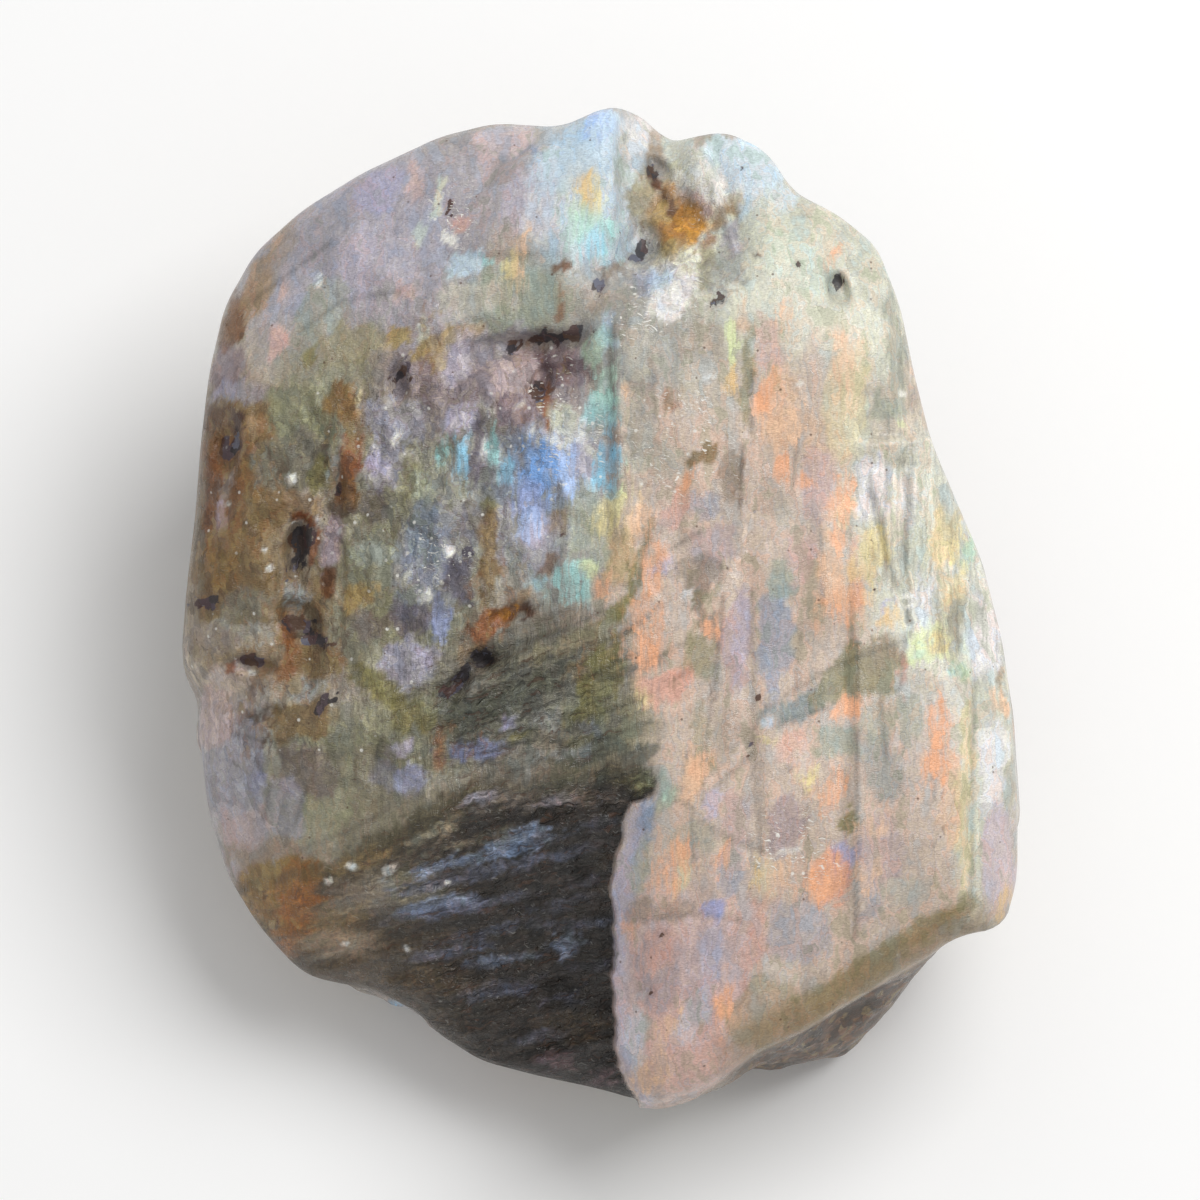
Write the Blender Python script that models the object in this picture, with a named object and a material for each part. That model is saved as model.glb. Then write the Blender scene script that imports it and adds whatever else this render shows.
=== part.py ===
"""A rough labradorite chunk, lying on the flat cleavage face of its back.

The stone is one piece. It is worked out in its face frame, in millimetres: u runs to the right across the
broad face, v up it and w out of it, with the middle of the face at the origin. The face leans FACE_LEAN
degrees from level towards -Y, so the frame is laid back on the table before the mesh is scaled to metres.

A cube with a fine grid on its sides is pressed onto the stone: its top becomes the broken face, its four
sides the broken edge all round, and its bottom the flat face that the stone lies on.
"""

import math

import bmesh
import bpy
import numpy as np

MM = 0.001
NAME = "labradorite_chunk"

# Driving dimensions, in millimetres and degrees
FACE_LEAN = 15.0  # of the broad face, from level towards -Y
MIDDLE_HEIGHT = 23.0  # of the middle of the face above the table
GRID_CUTS = 71  # of each edge of the cube
TRIANGLES = 9600  # kept of the stone's surface

# The stone's outline about the middle of the face, counter-clockwise from the right
OUTLINE = [
    (24.1, -2.4), (22.9, 2.4), (21.2, 6.3), (19.8, 9.6), (18.8, 13.6), (18.0, 17.6), (16.6, 21.2),
    (14.3, 23.1), (11.6, 24.5), (10.0, 27.0), (7.5, 28.2), (5.4, 27.8), (3.9, 27.5), (3.3, 28.6),
    (1.5, 29.6), (0.5, 29.7), (-2.4, 28.4), (-3.3, 28.5), (-6.3, 28.7), (-9.6, 27.9), (-14.3, 25.7),
    (-17.9, 23.5), (-20.8, 20.9), (-22.6, 17.7), (-23.5, 13.7), (-24.0, 9.6), (-24.4, 4.8), (-24.9, 0.6),
    (-25.2, -3.0), (-25.0, -4.6), (-24.3, -5.6), (-24.1, -8.4), (-23.6, -12.8), (-22.4, -16.7),
    (-20.6, -19.6), (-18.2, -22.3), (-16.7, -23.0), (-13.9, -23.3), (-11.9, -24.4), (-10.7, -25.0),
    (-10.0, -26.0), (-7.2, -27.8), (-3.3, -28.8), (0.0, -29.5), (2.4, -30.2), (4.1, -29.9), (6.6, -28.9),
    (9.2, -27.1), (11.9, -25.9), (16.2, -23.3), (20.0, -21.1), (21.3, -20.1), (24.2, -19.6), (25.0, -16.7),
    (25.0, -12.2), (24.5, -5.4),
]

# Planes that bound the broken face: a point on each, and its rise in w per millimetre of u and of v
FACETS = {
    "broad_face": (3.0, 0.0, 1.8, -0.05, -0.06),
    "lower_face": (6.0, -20.0, 2.0, -0.10, 0.12),
    "upper_right": (9.0, 19.0, -0.3, -0.14, -0.42),
    "upper_blue": (-2.0, 20.0, -0.4, 0.03, -0.40),
    "upper_left": (-12.0, 16.0, -1.4, 0.24, -0.28),
    "left": (-14.0, 2.0, -0.8, 0.22, 0.00),
    "lower_left": (-17.0, -10.0, -2.6, 0.28, 0.12),
    "fibrous_slope": (3.6, -10.2, 2.4, 0.24, 0.05),
}
FACET_ROUNDING = 0.7

# How far the face falls away just inside the outline, by direction in degrees: the drop, and how tight it is
RIM_FALL = {
    0: (1.0, 16),
    50: (1.5, 14),
    85: (2.0, 12),
    120: (3.0, 7),
    160: (4.5, 6),
    200: (5.0, 6),
    235: (3.0, 8),
    255: (1.2, 16),
    280: (2.0, 14),
    310: (2.6, 12),
    335: (1.6, 16),
}

# The right flank: it falls away to the right of a line, given by its u at each v up the face
FLANK_V = [-30.0, -6.0, -3.0, 2.0, 8.0, 10.0, 20.0, 30.0]
FLANK_U = [22.4, 22.0, 19.0, 16.6, 15.4, 17.6, 17.2, 15.0]
FLANK_SLOPE = 0.55

# The hollow broken out of the lower left: it falls away below a line, given by its v at each u
HOLLOW_U = [-30.0, -20.5, -17.9, -15.5, -10.7, -6.0, -2.4, 0.0, 3.4, 6.0]
HOLLOW_V = [-22.5, -18.6, -16.7, -15.6, -13.7, -11.5, -10.4, -9.9, -9.9, -10.4]
HOLLOW_SLOPE = 0.40
HOLLOW_DIP = ((-6.0, -21.5), (8.0, 5.0), 1.3)  # the scoop in its middle: where, how wide and how deep
# The hollow ends to the right at a steep ridge, given by its u at each v up the face
RIDGE_V = [-60.0, -30.2, -28.4, -26.3, -23.9, -20.9, -17.9, -16.1, -14.3, -12.5, -11.6, -10.4, -9.0]
RIDGE_U = [2.2, 2.2, 1.3, 0.95, 0.75, 0.75, 0.6, 0.75, 1.3, 1.75, 2.5, 3.3, 4.0]
RIDGE_WIDTH = 0.6
RIDGE_BEVEL = (1.0, 2.4)  # how far the face leans down to the ridge, and over what distance

# Cleavage ledges: from one end to the other, the face drops by a height on the ledge's left-hand side,
# or on its right for a height below 0, and climbs back over a reach
LEDGES = {
    "peak_left": ((-1.5, 29.5), (-8.5, 23.5), -0.9, 5.0),
    "peak_right": ((1.1, 31.0), (1.1, 20.5), 1.5, 4.0),
    "right_peak_left": ((5.9, 29.5), (8.6, 19.5), 1.3, 4.0),
    "pink_shelf": ((-0.8, 20.8), (-10.0, 20.6), 0.35, 4.0),
    "purple_shelf": ((-9.8, 14.9), (-1.2, 16.4), -0.9, 2.6),
    "face_edge": ((0.9, 19.0), (0.7, 1.0), -0.8, 6.0),
    "flank_slab_top": ((14.6, 9.6), (22.0, 9.6), 0.9, 5.0),
    "flank_slab_side": ((19.0, -3.5), (15.3, 10.0), 0.7, 3.5),
    "lower_slab_side": ((21.8, -22.0), (22.1, -2.0), -0.8, 5.0),
    "upper_slab_side": ((18.4, 8.0), (17.2, 21.5), -0.8, 4.0),
    "middle_cleavage": ((8.2, -9.5), (9.2, 17.0), -0.35, 3.0),
    "right_cleavage": ((14.6, -23.0), (15.2, 4.5), 0.35, 3.0),
    "rust_edge": ((-10.5, -6.5), (1.5, 0.8), 0.8, 4.0),
    "left_rust": ((-15.6, 12.0), (-15.2, -4.0), -0.7, 3.0),
}
LEDGE_WIDTH = 0.35

# Broad grooves: from one end to the other, how deep at each end, and how wide
GROOVES = {
    "notch": ((3.6, 28.4), (2.4, 20.5), 2.6, 1.2, 2.4),
    "rust_groove": ((2.4, 20.5), (-3.0, 15.6), 1.2, 0.5, 1.8),
    "amber_pocket": ((5.5, 23.2), (6.8, 20.8), 1.6, 1.4, 1.8),
    "purple_patch": ((-6.5, 14.8), (-1.5, 13.4), 0.9, 0.9, 2.6),
    "blue_patch": ((-9.0, 8.0), (-1.5, 7.5), 0.7, 0.7, 3.0),
    "left_furrow": ((-18.3, 4.0), (-17.5, -5.0), 0.8, 0.8, 1.6),
    "face_trough": ((5.5, -6.5), (20.0, 0.5), 0.5, 0.4, 3.2),
    "left_notch": ((-25.5, -5.2), (-21.0, -5.8), 1.2, 0.2, 1.2),
}

# Pits where dark grains have weathered out: middle, half length, half width, direction, depth
PITS = [
    (-11.9, 13.1, 1.1, 0.6, 90, 0.8),
    (-3.2, 15.2, 2.4, 0.6, 10, 0.8),
    (-3.3, 13.2, 0.9, 0.7, 60, 0.8),
    (-18.1, 3.2, 1.6, 0.6, 85, 0.9),
    (-17.8, -1.2, 1.5, 0.9, 150, 0.8),
    (-22.3, 9.0, 1.4, 0.8, 85, 0.7),
    (-7.0, -3.6, 0.7, 0.6, 0, 0.7),
    (-8.6, -5.5, 1.4, 0.5, 55, 0.8),
    (-20.7, -3.9, 1.3, 0.5, 0, 0.7),
    (2.4, 21.2, 1.4, 1.0, 50, 0.9),
    (3.6, 25.8, 0.9, 0.5, 130, 0.8),
    (14.2, 18.6, 1.0, 0.6, 100, 0.8),
    (-5.4, -0.7, 1.2, 0.5, 20, 0.6),
    (-20.0, -7.0, 1.2, 0.4, 20, 0.5),
]

# The broken edge below the outline: the direction that each cleavage plane faces, its distance from the
# middle at the table, and how far it leans out over the table
SIDE_CUTS = [
    (2, 19.5, 24),
    (38, 17.0, 30),
    (72, 24.5, 14),
    (104, 25.5, 12),
    (136, 22.0, 26),
    (172, 19.0, 30),
    (208, 20.5, 28),
    (240, 21.0, 36),
    (268, 21.5, 32),
    (296, 27.0, 8),
    (326, 25.0, 10),
]
SIDE_ROUNDING = 0.8

# Roughness: the size of the lumps and how high they stand
LUMPS = [(12.0, 0.6), (5.0, 0.3), (2.4, 0.14)]
WANDER = 0.45  # of ledges, grooves and pits from their straight lines
SIDE_LEDGE = 4.0  # between the ledges of the broken edge, which run level with the broad face
SIDE_LEDGE_SHARE = 0.6  # of its lean that the broken edge makes in steps
SIDE_FACETS = 26  # round the broken edge
SIDE_FACET_HEIGHT = 5.0
SIDE_FACET_RELIEF = 1.3
LEFT_FACET = 6.5  # across each scooped facet of the left side
LEFT_FACET_RELIEF = 0.9
HACKLY_MIDDLE = (-7.0, 8.5)  # of the pitted patch at the middle left
HACKLY_SPREAD = (8.5, 8.5)
HACKLY_SIZE = 2.6
HACKLY_HEIGHT = 0.8


def smooth_step(x, low, high):
    t = np.clip((x - low) / (high - low), 0.0, 1.0)
    return t * t * (3.0 - 2.0 * t)


def smooth_min(a, b, rounding):
    """The lower of a and b, with the edge where they meet rounded over."""
    share = np.clip(0.5 + 0.5 * (b - a) / rounding, 0.0, 1.0)
    return b + (a - b) * share - rounding * share * (1.0 - share)


def lattice_value(i, j, k, seed):
    """A number from -1 to 1 that belongs to each point of a whole-numbered lattice."""
    mixed = (i * 374761393 + j * 668265263 + k * 1440662683 + seed * 974711) & 0xFFFFFFFF
    mixed = ((mixed ^ (mixed >> 13)) * 1274126177) & 0xFFFFFFFF
    return ((mixed ^ (mixed >> 16)) & 0xFFFFFF) / 8388607.5 - 1.0


def lumpy(x, y, z, seed):
    """Smooth noise from -1 to 1 with lumps about one unit across: the lattice's values, blended."""
    i, j, k = (np.floor(c).astype(np.int64) for c in (x, y, z))
    fx, fy, fz = (c * c * (3.0 - 2.0 * c) for c in (x - i, y - j, z - k))
    total = np.zeros(np.shape(x))
    for di in (0, 1):
        for dj in (0, 1):
            for dk in (0, 1):
                share = (fx if di else 1 - fx) * (fy if dj else 1 - fy) * (fz if dk else 1 - fz)
                total += share * lattice_value(i + di, j + dj, k + dk, seed)
    return total


def hackly(x, y, seed, wrap=1 << 20):
    """Small scooped facets: the lowest of many shallow bowls, each with its own middle, height and tilt.

    The pattern comes round to its start after wrap facets along x.
    """
    i, j = np.floor(x).astype(np.int64), np.floor(y).astype(np.int64)
    lowest = np.full(np.shape(x), 9.0)
    for di in (-1, 0, 1):
        for dj in (-1, 0, 1):
            cell = ((i + di) % wrap, j + dj)
            off_x = x - (i + di + 0.5 + 0.4 * lattice_value(*cell, 0, seed))
            off_y = y - (j + dj + 0.5 + 0.4 * lattice_value(*cell, 1, seed))
            tilt_x, tilt_y = lattice_value(*cell, 3, seed), lattice_value(*cell, 4, seed)
            bowl = 0.4 * lattice_value(*cell, 2, seed) + 0.9 * (tilt_x * off_x + tilt_y * off_y)
            lowest = np.minimum(lowest, bowl + 0.8 * (off_x**2 + off_y**2))
    return lowest


def beyond(distance, rounding):
    """The distance past a line, 0 before it, rounded over where it starts."""
    return 0.5 * (distance + np.sqrt(distance**2 + rounding**2))


def along(u, v, start, end):
    """How far along the line from start to end each point is, from 0 to 1, and how far to its left."""
    run_u, run_v = end[0] - start[0], end[1] - start[1]
    length = math.hypot(run_u, run_v)
    share = ((u - start[0]) * run_u + (v - start[1]) * run_v) / length**2
    left = ((v - start[1]) * run_u - (u - start[0]) * run_v) / length
    return share, left


def ledge(u, v, start, end, height, reach):
    """A drop of height on the left of the line, or on its right where height is below 0."""
    share, left = along(u, v, start, end)
    side = left if height > 0 else -left
    held = smooth_step(share, 0.0, 0.35) * smooth_step(1.0 - share, 0.0, 0.35)
    climb = np.exp(-np.maximum(side, 0.0) / reach)
    return -abs(height) * held * climb * smooth_step(side, -LEDGE_WIDTH, LEDGE_WIDTH)


def groove(u, v, start, end, depth_start, depth_end, width):
    """A rounded channel along the line from start to end."""
    share, left = along(u, v, start, end)
    length = math.hypot(end[0] - start[0], end[1] - start[1])
    beyond = np.maximum(np.maximum(-share, share - 1.0), 0.0) * length
    depth = depth_start + (depth_end - depth_start) * np.clip(share, 0.0, 1.0)
    return -depth * np.exp(-(left**2 + beyond**2) / width**2)


def pit(u, v, middle_u, middle_v, half_length, half_width, direction, depth):
    """A steep-sided oval pit."""
    turn = math.radians(direction)
    off_u, off_v = u - middle_u, v - middle_v
    lengthwise = (off_u * math.cos(turn) + off_v * math.sin(turn)) / half_length
    crosswise = (off_v * math.cos(turn) - off_u * math.sin(turn)) / half_width
    return -depth * (1.0 - smooth_step(np.hypot(lengthwise, crosswise), 0.5, 1.4))


def bell(u, v, middle, spread):
    return np.exp(-(((u - middle[0]) / spread[0]) ** 2 + ((v - middle[1]) / spread[1]) ** 2))


def outline_radius(turn):
    """The outline's distance from the middle in each direction, straight from point to point."""
    points = np.array(OUTLINE + OUTLINE[:1])
    angles = np.unwrap(np.arctan2(points[:, 1], points[:, 0]))
    turn = angles[0] + np.mod(turn - angles[0], 2.0 * math.pi)
    at = np.clip(np.searchsorted(angles, turn, side="right") - 1, 0, len(OUTLINE) - 1)
    start, run = points[at], points[at + 1] - points[at]
    cross_start_run = start[..., 0] * run[..., 1] - start[..., 1] * run[..., 0]
    return cross_start_run / (np.cos(turn) * run[..., 1] - np.sin(turn) * run[..., 0])


def by_direction(turn, table, column):
    degrees = np.degrees(turn) % 360.0
    return np.interp(degrees, list(table), [entry[column] for entry in table.values()], period=360.0)


def face_depth(u, v, share):
    """w of the broken face at u, v. share is how far out from the middle it is, 1 at the outline."""
    w = np.full(np.shape(u), 9.0)
    for point_u, point_v, level, rise_u, rise_v in FACETS.values():
        w = smooth_min(w, level + rise_u * (u - point_u) + rise_v * (v - point_v), FACET_ROUNDING)
    for size, height in LUMPS:
        w = w + height * lumpy(u / size, v / (size * 1.5), 0 * u, 3)
    bent_u = u + WANDER * lumpy(u / 2.2, v / 2.2, 0 * u, 14)
    bent_v = v + WANDER * lumpy(u / 2.2, v / 2.2, 0 * u, 15)
    for entry in LEDGES.values():
        w = w + ledge(bent_u, bent_v, *entry)
    for entry in GROOVES.values():
        w = w + groove(bent_u, bent_v, *entry)
    w = w + LEFT_FACET_RELIEF * smooth_step(-u, 0.0, 10.0) * hackly(u / LEFT_FACET, v / LEFT_FACET, 7)
    patch = bell(u, v, HACKLY_MIDDLE, HACKLY_SPREAD)
    w = w + HACKLY_HEIGHT * patch * hackly(u / HACKLY_SIZE, v / HACKLY_SIZE, 5)
    for entry in PITS:
        w = w + pit(bent_u, bent_v, *entry)
    w = w - FLANK_SLOPE * beyond(u - np.interp(v, FLANK_V, FLANK_U), 0.8)
    turn = np.arctan2(v, u)
    drop, tightness = by_direction(turn, RIM_FALL, 0), by_direction(turn, RIM_FALL, 1)
    w = w - drop * (1.0 - np.sqrt(np.maximum(1.0 - share**tightness, 0.0)))
    return carve_hollow(u, v, w)


def carve_hollow(u, v, w):
    """Takes the hollow out of the face, left of the ridge."""
    below = np.interp(u, HOLLOW_U, HOLLOW_V) - v
    middle, spread, dip = HOLLOW_DIP
    floor = w - HOLLOW_SLOPE * beyond(below, 0.5) - dip * bell(u, v, middle, spread)
    floor = floor + 0.3 * lumpy((u + 1.8 * v) / 3.0, (v - 0.3 * u) / 1.6, 0 * u, 8) * smooth_step(below, 0.0, 3.0)
    past_ridge = u - np.interp(v, RIDGE_V, RIDGE_U)
    bevel, bevel_width = RIDGE_BEVEL
    in_line = smooth_step(-v, 10.5, 14.0) * np.exp(-np.maximum(past_ridge, 0.0) / bevel_width)
    w = w - bevel * in_line
    return w + (floor - w) * smooth_step(-past_ridge, -RIDGE_WIDTH / 2, RIDGE_WIDTH / 2)


def draw_to_ridge(u, v, share):
    """Moves points of the face sideways so that the grid is closest where it steps down at the ridge."""
    off = u - np.interp(v, RIDGE_V, RIDGE_U)
    held = smooth_step(-v, 7.0, 11.0) * (1.0 - share**8)
    return u - 0.8 * off * np.exp(-((off / 1.5) ** 2)) * held


def lay_back(u, v, w):
    """From the face frame to the table's: X, Y and Z in millimetres, with the table at Z 0."""
    lean = math.radians(FACE_LEAN)
    y = v * math.cos(lean) - w * math.sin(lean)
    z = v * math.sin(lean) + w * math.cos(lean) + MIDDLE_HEIGHT
    return np.stack([u, y, z], axis=-1)


def stair(x, step):
    """x gathered into steps, with a steep riser between one and the next."""
    whole = np.floor(x / step)
    return step * (whole + smooth_step(x / step - whole, 0.55, 1.0))


def broken_edge(rim, down):
    """The stone's side below a point of its rim: down is 0 at the rim and 1 at the table."""
    turn = np.arctan2(rim[:, 1], rim[:, 0])
    rim_reach = np.hypot(rim[:, 0], rim[:, 1])
    x, y, z = rim[:, 0], rim[:, 1], rim[:, 2] * (1.0 - down)
    lean = math.radians(FACE_LEAN)
    layer = (z - MIDDLE_HEIGHT) * math.cos(lean) - y * math.sin(lean)
    layer = layer + 3.0 * lumpy(x / 8.0, y / 8.0, z / 8.0, 21)
    stepped = z + SIDE_LEDGE_SHARE * (stair(layer, SIDE_LEDGE) - layer)
    reach = rim_reach.copy()
    for facing, at_table, lean in SIDE_CUTS:
        off = (turn - math.radians(facing) + math.pi) % (2.0 * math.pi) - math.pi
        cut = (at_table + stepped * math.tan(math.radians(lean))) / np.cos(np.clip(off, -1.3, 1.3))
        reach = smooth_min(reach, cut, SIDE_ROUNDING)
    rough = sum(height * lumpy(x / size, y / size, z / size, 11) for size, height in LUMPS)
    around = (turn / math.pi + 1.0) * SIDE_FACETS / 2.0
    rough = rough + SIDE_FACET_RELIEF * hackly(around, z / SIDE_FACET_HEIGHT, 31, SIDE_FACETS)
    free = smooth_step(down, 0.0, 0.2) * smooth_step(1.0 - down, 0.0, 0.15)
    inward = (rim_reach - reach) * smooth_step(down, 0.0, 0.1)
    eased = rim_reach - inward + rough * free
    return np.stack([eased * np.cos(turn), eased * np.sin(turn), z], axis=-1)


def stone_surface(cube):
    """Presses points of a cube from -1 to 1 onto the stone, as X, Y and Z in millimetres."""
    a, b, c = cube.T
    disc_x, disc_y = a * np.sqrt(1.0 - b * b / 2.0), b * np.sqrt(1.0 - a * a / 2.0)
    turn, share = np.arctan2(disc_y, disc_x), np.minimum(np.hypot(disc_x, disc_y), 1.0)
    radius = outline_radius(turn)
    rim_u, rim_v = radius * np.cos(turn), radius * np.sin(turn)
    rim = lay_back(rim_u, rim_v, face_depth(rim_u, rim_v, np.ones(len(a))))
    u, v = draw_to_ridge(share * rim_u, share * rim_v, share), share * rim_v
    face = lay_back(u, v, face_depth(u, v, share))
    foot = broken_edge(rim, np.ones(len(a))) * share[:, None]
    edge = broken_edge(rim, (1.0 - c) / 2.0)
    points = np.where((c > 0.9999)[:, None], face, edge)
    return np.where((c < -0.9999)[:, None], foot, points)


def clear_scene():
    for obj in list(bpy.data.objects):
        bpy.data.objects.remove(obj, do_unlink=True)


def labradorite_material():
    material = bpy.data.materials.new("labradorite")
    material.use_nodes = True
    shader = material.node_tree.nodes["Principled BSDF"]
    shader.inputs["Base Color"].default_value = (0.42, 0.36, 0.31, 1.0)
    shader.inputs["Roughness"].default_value = 0.42
    shader.inputs["Metallic"].default_value = 0.0
    material.diffuse_color = (0.42, 0.36, 0.31, 1.0)
    return material


def gridded_cube():
    """A cube from -1 to 1 with GRID_CUTS cuts across each edge."""
    cage = bmesh.new()
    bmesh.ops.create_cube(cage, size=2.0)
    bmesh.ops.subdivide_edges(cage, edges=cage.edges[:], cuts=GRID_CUTS, use_grid_fill=True)
    return cage


def make_stone(collection):
    mesh = bpy.data.meshes.new(NAME)
    cage = gridded_cube()
    cage.to_mesh(mesh)
    cage.free()
    cube = np.empty(len(mesh.vertices) * 3, np.float32)
    mesh.vertices.foreach_get("co", cube)
    points = stone_surface(cube.reshape(-1, 3).astype(float))
    middle = (points.min(axis=0) + points.max(axis=0)) / 2.0
    points[:, :2] -= middle[:2]
    mesh.vertices.foreach_set("co", (points * MM).astype(np.float32).ravel())
    mesh.update()
    stone = bpy.data.objects.new(NAME, mesh)
    collection.objects.link(stone)
    mesh.materials.append(labradorite_material())
    thin = stone.modifiers.new("fewer triangles", "DECIMATE")
    thin.ratio = TRIANGLES / (2.0 * len(mesh.polygons))
    thin.use_collapse_triangulate = True
    return stone


def main():
    clear_scene()
    collection = bpy.data.collections.new("rough labradorite chunk")
    bpy.context.scene.collection.children.link(collection)
    make_stone(collection)


main()
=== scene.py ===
import math

import bpy
import numpy as np
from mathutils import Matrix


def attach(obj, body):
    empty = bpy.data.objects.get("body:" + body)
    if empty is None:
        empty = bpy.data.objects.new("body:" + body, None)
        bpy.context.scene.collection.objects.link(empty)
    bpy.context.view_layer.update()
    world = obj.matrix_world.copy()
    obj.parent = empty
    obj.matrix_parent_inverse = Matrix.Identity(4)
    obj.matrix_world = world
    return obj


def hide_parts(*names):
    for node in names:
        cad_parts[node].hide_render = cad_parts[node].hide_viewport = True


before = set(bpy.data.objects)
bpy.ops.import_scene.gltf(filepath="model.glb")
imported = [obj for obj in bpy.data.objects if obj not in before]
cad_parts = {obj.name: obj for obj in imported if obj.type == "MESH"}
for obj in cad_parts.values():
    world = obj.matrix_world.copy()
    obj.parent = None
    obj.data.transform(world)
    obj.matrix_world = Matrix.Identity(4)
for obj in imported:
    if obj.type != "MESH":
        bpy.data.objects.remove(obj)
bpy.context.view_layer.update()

# The stone is worked out in its face frame, in millimetres: u to the right across the broad face, v up it
# and w out of it. layBack() leans that frame back on the table.
stone = {
    "lean": 15.0,            # degrees of the face from level, towards -Y
    "middleHeight": 23.0,    # mm of the middle of the face above the table
    "middle": (0.326, 1.093),  # mm from the middle of the face to the middle of the stone
    "acrossFace": 256,       # quads across the face
    "downSide": 24,          # rows of quads down the broken edge
    "underRings": 6,         # rings of quads under the stone
    "outlineEasing": 0.8,    # degrees
    "sketchScale": 16.75,    # units of the colour sketch in a millimetre
    "sketchMiddle": 600,     # the middle of the face in that sketch, across and down
}

# The outline about the middle of the face, mm, counter-clockwise from the right
outline = [
    (24.1, -2.4), (22.9, 2.4), (21.2, 6.3), (19.8, 9.6), (18.8, 13.6), (18.0, 17.6), (16.6, 21.2),
    (14.3, 23.1), (11.6, 24.5), (10.0, 27.0), (7.5, 28.2), (5.4, 27.8), (3.9, 27.5), (3.3, 28.6),
    (1.5, 29.6), (0.5, 29.7), (-2.4, 28.4), (-3.3, 28.5), (-6.3, 28.7), (-9.6, 27.9), (-14.3, 25.7),
    (-17.9, 23.5), (-20.8, 20.9), (-22.6, 17.7), (-23.5, 13.7), (-24.0, 9.6), (-24.4, 4.8), (-24.9, 0.6),
    (-25.2, -3.0), (-25.0, -4.6), (-24.3, -5.6), (-24.1, -8.4), (-23.6, -12.8), (-22.4, -16.7),
    (-20.6, -19.6), (-18.2, -22.3), (-16.7, -23.0), (-13.9, -23.3), (-11.9, -24.4), (-10.7, -25.0),
    (-10.0, -26.0), (-7.2, -27.8), (-3.3, -28.8), (0.0, -29.5), (2.4, -30.2), (4.1, -29.9), (6.6, -28.9),
    (9.2, -27.1), (11.9, -25.9), (16.2, -23.3), (20.0, -21.1), (21.3, -20.1), (24.2, -19.6), (25.0, -16.7),
    (25.0, -12.2), (24.5, -5.4),
]

# Planes that bound the face: a point u, v on each, its w there, and its rise along u and along v
facets = [
    (3.0, 0.0, 1.8, -0.05, -0.06),      # broad face
    (6.0, -20.0, 2.0, -0.10, 0.12),     # lower face
    (9.0, 19.0, -0.3, -0.14, -0.42),    # upper right
    (-2.0, 20.0, -0.4, 0.03, -0.40),    # upper blue facet
    (-12.0, 16.0, -1.4, 0.24, -0.28),   # upper left
    (-14.0, 2.0, -0.8, 0.22, 0.00),     # left
    (-17.0, -10.0, -2.6, 0.28, 0.12),   # lower left
    (3.6, -10.2, 2.4, 0.24, 0.05),      # fibrous slope above the hollow
]

# By direction in degrees: how far the face falls away towards the outline, in mm, and how tight that is
rimFall = {
    0: (1.0, 16), 50: (1.5, 14), 85: (2.0, 12), 120: (3.0, 7), 160: (4.5, 6), 200: (5.0, 6),
    235: (3.0, 8), 255: (1.2, 16), 280: (2.0, 14), 310: (2.6, 12), 335: (1.6, 16),
}

# Where the face turns down into its right flank, and how steeply
flank = {
    "v": [-30.0, -6.0, -3.0, 2.0, 8.0, 10.0, 20.0, 30.0],
    "u": [22.4, 22.0, 19.0, 16.6, 15.4, 17.6, 17.2, 15.0],
    "slope": 0.55,
}

# The hollow broken out of the lower left: its upper edge, how steeply it falls and the scoop in it
hollow = {
    "edgeU": [-30.0, -20.5, -17.9, -15.5, -10.7, -6.0, -2.4, 0.0, 3.4, 6.0],
    "edgeV": [-22.5, -18.6, -16.7, -15.6, -13.7, -11.5, -10.4, -9.9, -9.9, -10.4],
    "slope": 0.40,
    "dipMiddle": (-6.0, -21.5),
    "dipSpread": (8.0, 5.0),
    "dip": 1.3,
    "slant": 0.3,                # rise of its streaks for each mm across
    "lump": (0.30, 3.0, 1.6),    # mm high, long and wide
    "lumpSlant": 1.8,
    "fibre": (0.24, 3.2, 0.7),
    "crumb": (0.14, 2.2, 0.8),
}

# The edge that stands above the hollow on its right
ridge = {
    "v": [-60.0, -30.2, -28.4, -26.3, -23.9, -20.9, -17.9, -16.1, -14.3, -12.6, -12.1, -11.6, -10.4, -9.0],
    "u": [2.2, 2.2, 1.3, 0.95, 0.75, 0.75, 0.6, 0.75, 1.3, 1.6, 1.95, 3.2, 3.5, 4.0],
    "width": 0.25,           # mm of the step down to the hollow
    "bevel": 1.0,            # mm that the face falls away beside it
    "bevelWidth": 2.4,
    "chips": [(0.16, 0.9, 51), (0.08, 0.4, 53)],  # depth, length along the edge, and noise
    "chipsFrom": (12.0, 13.5),    # mm below the middle of the face
    "draw": 0.8,             # how strongly the grid is drawn to it, and from how far in mm
    "drawReach": 1.5,
}

# Cleavage ledges: both ends, the drop on the left of the line (or on its right when below 0), and the
# distance over which the face climbs back
ledges = [
    ((-1.5, 29.5), (-8.5, 23.5), -0.9, 5.0),
    ((1.1, 31.0), (1.1, 20.5), 1.5, 4.0),
    ((5.9, 29.5), (8.6, 19.5), 1.3, 4.0),
    ((-0.8, 20.8), (-10.0, 20.6), 0.35, 4.0),
    ((-9.8, 14.9), (-1.2, 16.4), -0.9, 2.6),
    ((0.9, 19.0), (0.7, 1.0), -0.8, 6.0),
    ((14.6, 9.6), (22.0, 9.6), 0.9, 5.0),
    ((19.0, -3.5), (15.3, 10.0), 0.7, 3.5),
    ((21.8, -22.0), (22.1, -2.0), -0.8, 5.0),
    ((18.4, 8.0), (17.2, 21.5), -0.8, 4.0),
    ((8.2, -9.5), (9.2, 17.0), -0.35, 3.0),
    ((14.6, -23.0), (15.2, 4.5), 0.35, 3.0),
    ((-10.5, -6.5), (1.5, 0.8), 0.8, 4.0),
    ((-15.6, 12.0), (-15.2, -4.0), -0.7, 3.0),
]
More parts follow.
